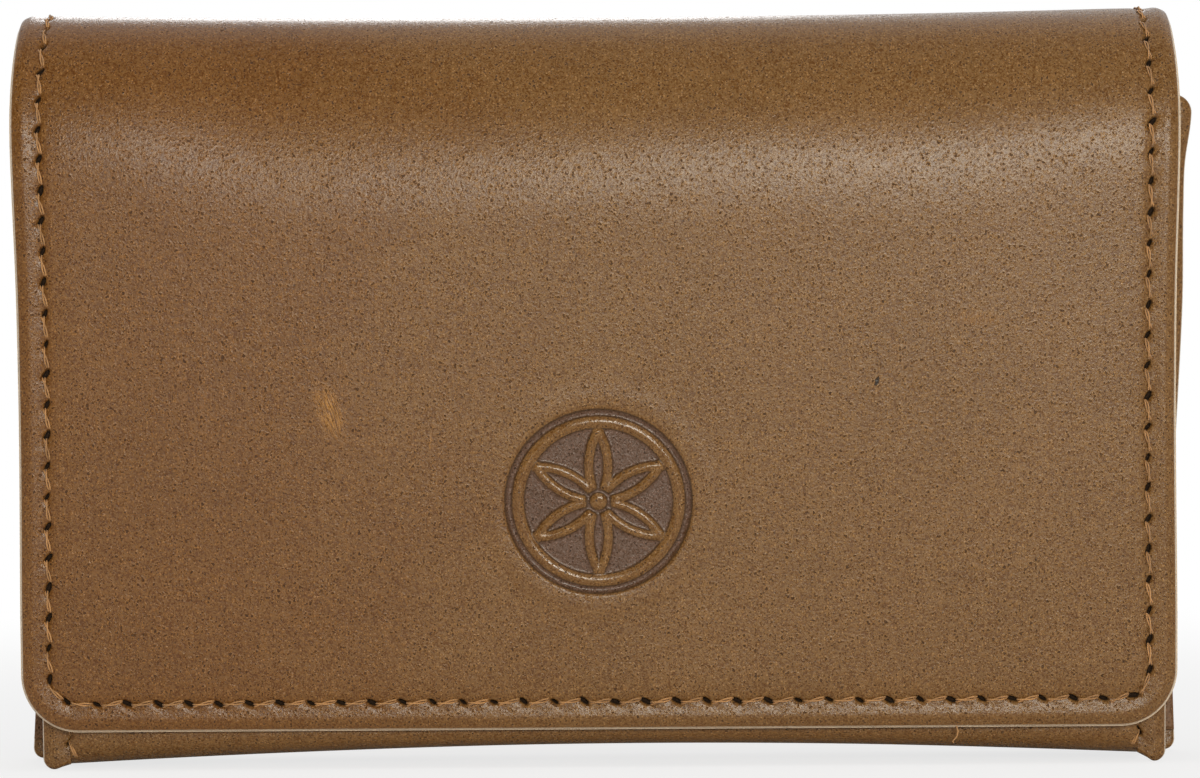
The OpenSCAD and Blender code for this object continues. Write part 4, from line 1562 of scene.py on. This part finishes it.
class FLAPCASE_OT_front_leather(bpy.types.Operator):
    """Outer leather of the front: the turned mouth, the front wall and half the base"""

    bl_idname = "flap_case.front_leather"
    bl_label = "Front leather"

    def execute(self, context):
        case = Case(context)
        top = case.fold_top
        end = case.front_margin.total

        place = partial(front_place, case, section=case.front_margin)

        def panel_place(X, S, h):
            narrow = 1 - (1 - case.inner_half / case.front_seam) * ease((top - S) / 2.5)
            narrow = narrow * base_width(case, case.front_seam, S - top - end)
            return front_place(case, X * narrow, S, h)

        def thickness(S):
            return turned + (case.leather - turned) * ease((S - top) / 2.0)

        turned = 0.92 * case.fold
        seams = wall_seams(context, case.front_seam, place, SEAM_HEAD, end - SEAM_FOOT, 30)
        shell = Shell()
        margins = Shell()
        for side, seam in seams.items():
            q = seam.columns()[1]
            wall_margin(margins, seam, case, side, q + seam.start, (0, end), True)
        hem = steps(0, (HEM_WIDTH - case.fold, 1.2), (top, 0.3), (top + SEAM_HEAD, 0.3))
        mouth = steps(top + MOUTH_SEAM - 1, (top + MOUTH_SEAM + 1, 0.2))
        base = steps(top + end - 8, (case.front.total, 0.5))
        rows = spaced(np.concatenate((hem, mouth, q + top + SEAM_HEAD, base)))
        seam.shift_s = top + SEAM_HEAD
        wall_panel(shell, seam, case, rows, (top, top + end - 0.6), thickness, case.mouth_press)
        panel = shell.build("front_panel", panel_place)
        strips = margins.build("front_margins", place)
        item = join("front_wall_leather", panel, strips)
        dress(context, item, "wall_leather", "outer_leather")
        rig.ride(item, "body")
        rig.replaces(item, "outer_wrap")
        for side, seam in seams.items():
            self.sew_side(context, case, seam, side)
            self.seam_end(context, seam, side)
        self.mouth_seam(context, case, panel_place)
        return {"FINISHED"}

    def sew_side(self, context, case, seam, side):
        """The stitches of one side, outside and inside."""
        name = "front_stitches_" + SIDE_NAMES[side]
        below = case.leather + case.gusset
        last = seam.count - 1
        sew(context, seam, name, 1, last, -0.1, None, False, -side)
        sew(context, seam, name + "_inside", 1, last, -below, None, True, -side)

    def seam_end(self, context, seam, side):
        """The last short stitch of a side seam, slanting in under the base."""
        s = seam.start + float(np.interp((seam.count - 0.5) * seam.pitch, seam.along, seam.q))
        radius = context.scene.flap_case_stitches.thread / 4
        t = np.linspace(0, 1, 8)
        for strand_number, shift in (1, -0.13), (2, 0.13):
            X = side * (seam.x - 0.75 * t + shift)
            points = seam.place(X, s - 0.1 + 2.3 * t, 0.3 - 0.7 * abs(2 * t - 1) ** 6)
            name = "front_seam_end_{}_{}".format(SIDE_NAMES[side], strand_number)
            thread = loose_thread(context, name, points, radius)
            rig.ride(thread, "body")

    def mouth_seam(self, context, case, place):
        """The row of stitches that holds the mouth's turned edge and its facing."""
        half = case.inner_half - 1.5

        def flat(q):
            return q - half, case.fold_top + MOUTH_SEAM + 0 * q

        seam = Seam(context, flat, 2 * half, place, 40, 0)
        sew(context, seam, "mouth_stitches", 0, seam.count, -0.05)
        sew(context, seam, "mouth_stitches_inside", 0, seam.count, -case.wall, inside=True)


# Distance of the mouth's row of stitches from its fold
MOUTH_SEAM = 4.2


# ---------- the gussets ----------


class Fold:
    """A sheet's upright path through corners in plan, softened where it is folded."""

    def __init__(self, corners, counts, soften):
        self.corners = corners
        weights = [np.eye(len(counts) + 1)[0]]
        for i, count in enumerate(counts):
            for t in np.linspace(0, 1, count + 1)[1:]:
                row = np.zeros(len(counts) + 1)
                row[i], row[i + 1] = 1 - t, t
                weights.append(row)
        weights = np.array(weights)
        window = np.ones(2 * soften + 1) / (2 * soften + 1)
        for _ in range(2):
            padded = np.pad(weights, ((soften, soften), (0, 0)), "reflect", reflect_type="odd")
            columns = [np.convolve(column, window, "valid") for column in padded.T]
            weights = np.array(columns).T
        self.weights = weights
        self.turns = np.gradient(weights, axis=0)
        middle = weights @ corners(np.array(40.0))
        apart = np.linalg.norm(np.diff(middle, axis=0), axis=1)
        self.u = np.concatenate(([0], np.cumsum(apart)))

    def at(self, u, z, h):
        """X and Y at a length along the path, a height, and a distance into the pocket."""
        corners = self.corners(z)

        def of(table):
            columns = [np.interp(u, self.u, table[:, k]) for k in range(table.shape[1])]
            return (np.stack(columns, -1)[..., None] * corners).sum(-2)

        point, turn = of(self.weights), of(self.turns)
        turn = turn / np.linalg.norm(turn, axis=-1, keepdims=True)
        return point[..., 0] - h * turn[..., 1], point[..., 1] + h * turn[..., 0]


def gusset_corners(case, depth, reach):
    """Corners in plan of the gusset's middle line, from lip to lip, at any height."""

    def corners(z):
        lean = math.tan(case.lean)
        front = -case.front_foot - z * lean
        back = case.back_foot + z * lean
        seam = (case.front_seam + case.back_seam) / 2
        crease_x = seam - CREASE_FOOT - CREASE_MOUTH * z / case.mouth
        crease = np.stack((crease_x, (front + back) / 2), -1)
        front_turn = np.stack((case.front_seam + 0 * z, front + depth), -1)
        back_turn = np.stack((case.back_seam + 0 * z, back - depth), -1)
        if reach:
            front_edge = front_turn + (case.inset - 0.3, 0)
            back_edge = back_turn + (case.inset - 0.3, 0)
            return np.stack((front_edge, front_turn, crease, back_turn, back_edge), -2)
        start = (case.wall + case.gusset - case.leather) / (crease[..., 1:] - front_turn[..., 1:])
        front_start = front_turn + start * (crease - front_turn)
        back_start = back_turn + start * (crease - back_turn)
        return np.stack((front_start, crease, back_start), -2)

    return corners


def gusset_top(case, y):
    """Height of the gusset's upper edge, which dips between the two walls."""
    across = np.clip(y / 16, -1, 1)
    return case.mouth - 1.8 + 0.9 * across - 3 * (1 - across**2)


def gusset_floor(case, y, depth):
    """Height of the base's inner face at a depth."""
    r = case.base_r
    off = np.maximum(0, np.maximum(-case.front_foot + r - y, y - case.back_foot + r))
    return r - np.sqrt(np.maximum(0, (r - depth) ** 2 - off**2))


# How far the crease is in from the seams at the foot and, on top of that, at the mouth
CREASE_FOOT = 3
CREASE_MOUTH = 7
# Shift of each gusset's grain, so that the two are not alike
GRAIN_SHIFT = 31


def gusset_sheet(case, name, side, fold, faces, low, high, pucker):
    """A leaf of leather on a fold, between two heights, with softened edges."""

    def place(U, v, h):
        y0 = fold.at(U, 0 * U, 0)[1]
        y1 = fold.at(U, 0 * U + case.mouth, 0)[1]
        z = low(y0) + (high(y1) - low(y0)) * v
        wave = pucker * np.sin(U * 0.9 + z * 0.31 + side) * np.sin(z * 0.45 + U * 0.2)
        belly = 0.35 * np.sin(math.pi * v) * np.sin(math.pi * U / fold.u[-1] * 2)
        x, y = fold.at(U, z, h + wave + pucker * 3 * belly)
        return spread(case, side * x, y, z)

    shell = Shell()
    tall = high(0.0) - low(0.0)
    v = steps(0, (0.15, 0.15), (0.5, 0.35), (tall - 0.5, 2.2), (tall - 0.15, 0.35), (tall, 0.15))
    v /= tall
    u = np.concatenate(([0, 0.15], fold.u[1:-1], [fold.u[-1] - 0.15, fold.u[-1]]))
    near_v = np.minimum(v, 1 - v) * tall
    edge = np.minimum(np.minimum(u, u[-1] - u)[None, :], near_v[:, None])
    shell.leaf(u[None, :], v[:, None], faces, edge)
    item = shell.build(name, place)
    hide = item.data.attributes["hide"].data
    flat = np.zeros(len(hide) * 3, np.float32)
    hide.foreach_get("vector", flat)
    flat[1::3] *= tall
    flat[0::3] += GRAIN_SHIFT * side
    hide.foreach_set("vector", flat)
    return item


class FLAPCASE_OT_gussets(bpy.types.Operator):
    """The two folded side gussets with their suede lining and leather facing"""

    bl_idname = "flap_case.gussets"
    bl_label = "Gussets"

    def execute(self, context):
        case = Case(context)
        half = case.gusset / 2
        middle = case.leather + half
        whole = Fold(gusset_corners(case, middle, True), (8, 26, 26, 8), 3)
        leaf = Fold(gusset_corners(case, middle, False), (24, 24), 3)

        def foot(y):
            return gusset_floor(case, y, case.leather) + 0.3 * (abs(y) > 9)

        def lining_foot(y):
            return gusset_floor(case, y, case.wall)

        def top(y):
            return gusset_top(case, y)

        def split(y):
            return case.mouth - FACING + 0 * y

        def split_over(y):
            return split(y) - 0.4

        def facing_top(y):
            return top(y) - 0.1

        sheets = (
            ("_leather", whole, (-half, half), foot, top, 0.07),
            ("_suede", leaf, (half + 0.02, half + 0.5), lining_foot, split, 0.07),
            ("_mouth_facing", leaf, (half + 0.02, half + 0.55), split_over, facing_top, 0.05),
        )
        finishes = (
            ("gusset_leather", "gusset_leather", "_gusset"),
            ("pocket_suede", "lining", "_gusset_lining"),
            ("facing_leather", "facing_leather", "_gusset_facing"),
        )
        for side, name in SIDE_NAMES.items():
            for sheet, (finish_name, slot, node) in zip(sheets, finishes):
                item = gusset_sheet(case, name + "_gusset" + sheet[0], side, *sheet[1:])
                dress(context, item, finish_name, slot)
                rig.ride(item, "body")
                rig.replaces(item, name + node)
        return {"FINISHED"}


# How far the facings go down from the mouth, the air round the base's board, and the height
# at which the back wall's board ends
FACING = 12
GAP = 0.03
BOARD_TOP = 82


# ---------- linings and boards inside the pocket ----------


def band(name, place, rows, half, faces, joined=False):
    """A sheet between two faces, with softened edges, as wide as half says on both sides.

    A joined one goes on beyond its first row, so it has no edge there, and its sides are raw.
    """
    shell = Shell()
    xs = steps(-1, (-0.985, 0.005), (0.985, 0.04), (1, 0.005))
    near = rows[-1] - rows if joined else np.minimum(rows - rows[0], rows[-1] - rows)
    edge = np.minimum(((1 - abs(xs)) * half)[None, :], near[:, None])
    S = rows[:, None]
    shell.leaf(xs[None, :] * half, S, [face(S) for face in faces], edge, 2.0 if joined else 1.0)
    return shell.build(name, place)


def flat_face(height):
    """A face at the same height everywhere."""
    return lambda S: height + 0 * S


class FLAPCASE_OT_linings(bpy.types.Operator):
    """Suede pocket lining, mouth facing, lining of the back of the cover, and base board"""

    bl_idname = "flap_case.linings"
    bl_label = "Linings"

    def execute(self, context):
        case = Case(context)
        self.pocket(context, case)
        self.facing(context, case)
        self.cover(context, case)
        return {"FINISHED"}

    def pocket(self, context, case):
        """The suede inside the pocket and the board under it, over the base's arch."""
        low = case.mouth - FACING
        place = partial(pocket_place, case)
        front = case.front.length_at(low, case.fold_top) - case.front.total
        back = case.back.total - case.back.length_at(low)
        ends = (front + 1, 0.25), (back - 1, 4)
        rows = steps(front, ends[0], (-10.5, 4), (9.5, 0.6), ends[1], (back, 0.25))
        outer = case.wall - case.lining

        def sagging(L):
            return -case.wall + 0.12 * np.sin(L / 6.0)

        faces = (flat_face(-outer), sagging)
        item = band("pocket_suede_lining", place, rows, case.inner_half, faces)
        dress(context, item, "pocket_suede", "lining")
        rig.ride(item, "body")
        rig.replaces(item, "pocket_lining")
        half_base = (case.front_foot + case.back_foot - 2 * case.base_r) / 2
        ends = 1 - half_base, half_base - 1
        rows = steps(-half_base, (ends[0], 0.25), (ends[1], 1.5), (half_base, 0.25))
        faces = (flat_face(-case.leather - GAP), flat_face(GAP - outer))
        item = band("base_stiffener", place, rows, case.inner_half - 6.6, faces)
        dress(context, item, "fibre_board", "board")
        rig.ride(item, "body")
        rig.replaces(item, "base_board")

    def facing(self, context, case):
        """The leather facing inside the front of the mouth."""
        place = partial(front_place, case, section=case.front_margin)
        rows = steps(0.25, (1.25, 0.2), (11.2, 1.0), (12.4, 0.2))
        outer = case.leather + case.board + 0.02
        faces = (flat_face(-outer), flat_face(-case.wall - 0.05))
        item = band("front_mouth_facing", place, rows, case.inner_half, faces)
        dress(context, item, "facing_leather", "facing_leather")
        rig.ride(item, "body")
        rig.replaces(item, "front_facing")

    def cover(self, context, case):
        """The leather lining of the crown's back half and of the back wall's top."""
        wide_to = case.back.length_at(case.mouth + 1.2)
        low = case.back.length_at(case.mouth - FACING)
        board = case.back.length_at(BOARD_TOP)
        place = partial(back_place, case)

        def outer(S):
            return -case.leather - case.board * ease((S - board) / 5)

        def inner(S):
            return outer(S) - case.lining

        faces = (outer, inner)
        rows = steps(0, (0.05, 0.05), (wide_to - 0.5, 1.5), (wide_to, 0.25))
        top = band("back_cover_lining", place, rows, HALF_WIDTH, faces, True)
        rows = steps(wide_to - 0.4, (board - 1, 1.5), (board + 6, 0.6), (low, 0.8))
        foot = band("cover_lining_foot", place, rows, case.inner_half, faces)
        item = join("back_cover_lining", top, foot)
        dress(context, item, "facing_leather", "facing_leather")
        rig.blend(item, "body", "top", **TOP_FOLD)
        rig.replaces(item, "back_facing")


class FLAPCASE_OT_stiffening(bpy.types.Operator):
    """Finishes of the boards, keepers and magnets inside the walls and the flap"""

    bl_idname = "flap_case.stiffening"
    bl_label = "Boards, keepers and magnets"

    FINISHED = {
        "fibre_board": ("front_board", "back_board", "flap_board"),
        "keeper_steel": ("left_keeper", "right_keeper"),
        "magnet_nickel": ("left_magnet", "right_magnet"),
    }

    def execute(self, context):
        for finish_name, nodes in self.FINISHED.items():
            for node in nodes:
                dress(context, bpy.data.objects[node], finish_name)
        return {"FINISHED"}


# ---------- stage ----------


# Half the floor's width, in metres
FLOOR_HALF = 4
# Each lamp's name, place, width and height, and power
LAMPS = (
    ("front_softbox", (0.17, -1.2, 0.262), (0.5, 0.23), "front_light"),
    ("back_softbox", (-0.09, 1.15, 0.6), (0.34, 0.35), "back_light"),
    ("top_softbox", (0.0, -0.3, 1.1), (1.0, 0.7), "top_light"),
)


class FLAPCASE_OT_stage(bpy.types.Operator):
    """Floor, backdrop, lamps and camera"""

    bl_idname = "flap_case.stage"
    bl_label = "Stage"

    def execute(self, context):
        stage = context.scene.flap_case_stage
        scene = context.scene
        scene.view_settings.view_transform = "Standard"
        camera = bpy.data.cameras.new("camera")
        camera.lens = stage.lens
        camera.sensor_width = 36
        camera.clip_start = 0.01
        camera.clip_end = 20
        view = bpy.data.objects.new("camera", camera)
        view.location = (0.0004, -stage.distance, stage.height)
        view.rotation_euler = (math.pi / 2, stage.roll, 0)
        scene.collection.objects.link(view)
        scene.camera = view
        self.floor(context)
        self.world(context)
        lamps = {}
        for name, place, size, power in LAMPS:
            lamps[name] = add_lamp(context, name, place, size, getattr(stage, power))
        lamps["front_softbox"].data.color = (1.0, 0.965, 0.85)
        lamps["top_softbox"].visible_glossy = False
        return {"FINISHED"}

    def floor(self, context):
        """A pale floor that keeps the case's shadow and goes over into the backdrop."""
        colours = context.scene.flap_case_colours
        mesh = bpy.data.meshes.new("floor")
        half = FLOOR_HALF
        corners = [(-half, -half, 0), (half, -half, 0), (half, half, 0), (-half, half, 0)]
        mesh.from_pydata(corners, [], [(0, 1, 2, 3)])
        item = new_object("floor", mesh)
        material, nodes = finish_of("pale_floor", colours.floor)
        far = nodes.length(nodes.place())
        seen = nodes.add("ShaderNodeLightPath", {}, (), "Is Camera Ray")
        white = seen * (nodes.step(far, 0.1, 0.45) * 0.25 + 0.75)
        matt = nodes.add("ShaderNodeBsdfDiffuse", {}, ((*colours.floor, 1),))
        glow = nodes.add("ShaderNodeEmission", {}, ((1, 1, 1, 1), 1.0))
        shader = nodes.add("ShaderNodeMixShader", {}, (white, matt, glow))
        nodes.end("ShaderNodeOutputMaterial", shader)
        mesh.materials.append(material)
        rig.stage(item)

    def world(self, context):
        """A white backdrop behind, a dim room in front, and its own strength as a light."""
        stage = context.scene.flap_case_stage
        world = bpy.data.worlds.new("studio")
        context.scene.world = world
        world.use_nodes = True
        world.node_tree.nodes.clear()
        nodes = Builder(world.node_tree)
        path = nodes.add("ShaderNodeLightPath", {}, (), "Is Camera Ray")
        mirrored = path.out("Is Glossy Ray") + path.out("Is Transmission Ray")
        toward = nodes.parts(nodes.add("ShaderNodeTexCoord", {}, (), "Generated"))
        room = nodes.step(toward.out("Y"), -0.2, 0.35) * 0.75
        room = room + nodes.step(toward, -0.12, 0.1) * 0.18
        lit = mirrored * (room - stage.world_light) + stage.world_light
        strength = path * (1 - lit) + lit
        glow = nodes.add("ShaderNodeBackground", {}, ((1, 1, 1, 1), strength))
        nodes.end("ShaderNodeOutputWorld", glow)


def add_lamp(context, name, place, size, power):
    """A soft rectangular lamp that faces the case."""
    lamp = bpy.data.lights.new(name, "AREA")
    lamp.shape = "RECTANGLE"
    lamp.size, lamp.size_y = size
    lamp.energy = power
    item = bpy.data.objects.new(name, lamp)
    aim = np.array((0, 0, 0.05)) - place
    flat = math.hypot(aim[0], aim[1])
    item.location = place
    item.rotation_euler = (math.atan2(flat, -aim[2]), 0, math.atan2(aim[1], aim[0]) - math.pi / 2)
    context.scene.collection.objects.link(item)
    return item


PIECES = (
    FLAPCASE_OT_stage,
    FLAPCASE_OT_flap_leather,
    FLAPCASE_OT_flap_lining,
    FLAPCASE_OT_back_leather,
    FLAPCASE_OT_front_leather,
    FLAPCASE_OT_gussets,
    FLAPCASE_OT_linings,
    FLAPCASE_OT_stiffening,
)
GROUPS = {
    "flap_case_sizes": CaseSizes,
    "flap_case_stitches": StitchSizes,
    "flap_case_colours": CaseColours,
    "flap_case_stage": StageSizes,
}


class FLAPCASE_PT_panel(bpy.types.Panel):
    """Sizes, colours and pieces of the flap case"""

    bl_idname = "FLAPCASE_PT_panel"
    bl_label = "Flap case"
    bl_space_type = "VIEW_3D"
    bl_region_type = "UI"
    bl_category = "Flap case"

    def draw(self, context):
        for name, group in GROUPS.items():
            box = self.layout.box()
            box.label(text=group.__doc__)
            for prop in group.__annotations__:
                box.prop(getattr(context.scene, name), prop)
        for piece in PIECES:
            self.layout.operator(piece.bl_idname)


def register():
    for item in (*GROUPS.values(), *PIECES, FLAPCASE_PT_panel):
        bpy.utils.register_class(item)
    for name, group in GROUPS.items():
        setattr(bpy.types.Scene, name, PointerProperty(type=group))


def unregister():
    for name in GROUPS:
        delattr(bpy.types.Scene, name)
    for item in (*GROUPS.values(), *PIECES, FLAPCASE_PT_panel):
        bpy.utils.unregister_class(item)


def main():
    """Makes every piece in order and notes the sizes of the two models."""
    register()
    for piece in PIECES:
        group, name = piece.bl_idname.split(".")
        getattr(getattr(bpy.ops, group), name)()
    boxes = {
        "cad": [list(corner) for corner in CAD_BOX],
        "visual": [list(corner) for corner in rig.bounds()],
    }
    with open("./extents.json", "w") as file:
        json.dump(boxes, file, indent=1)


if __name__ == "__main__":
    main()
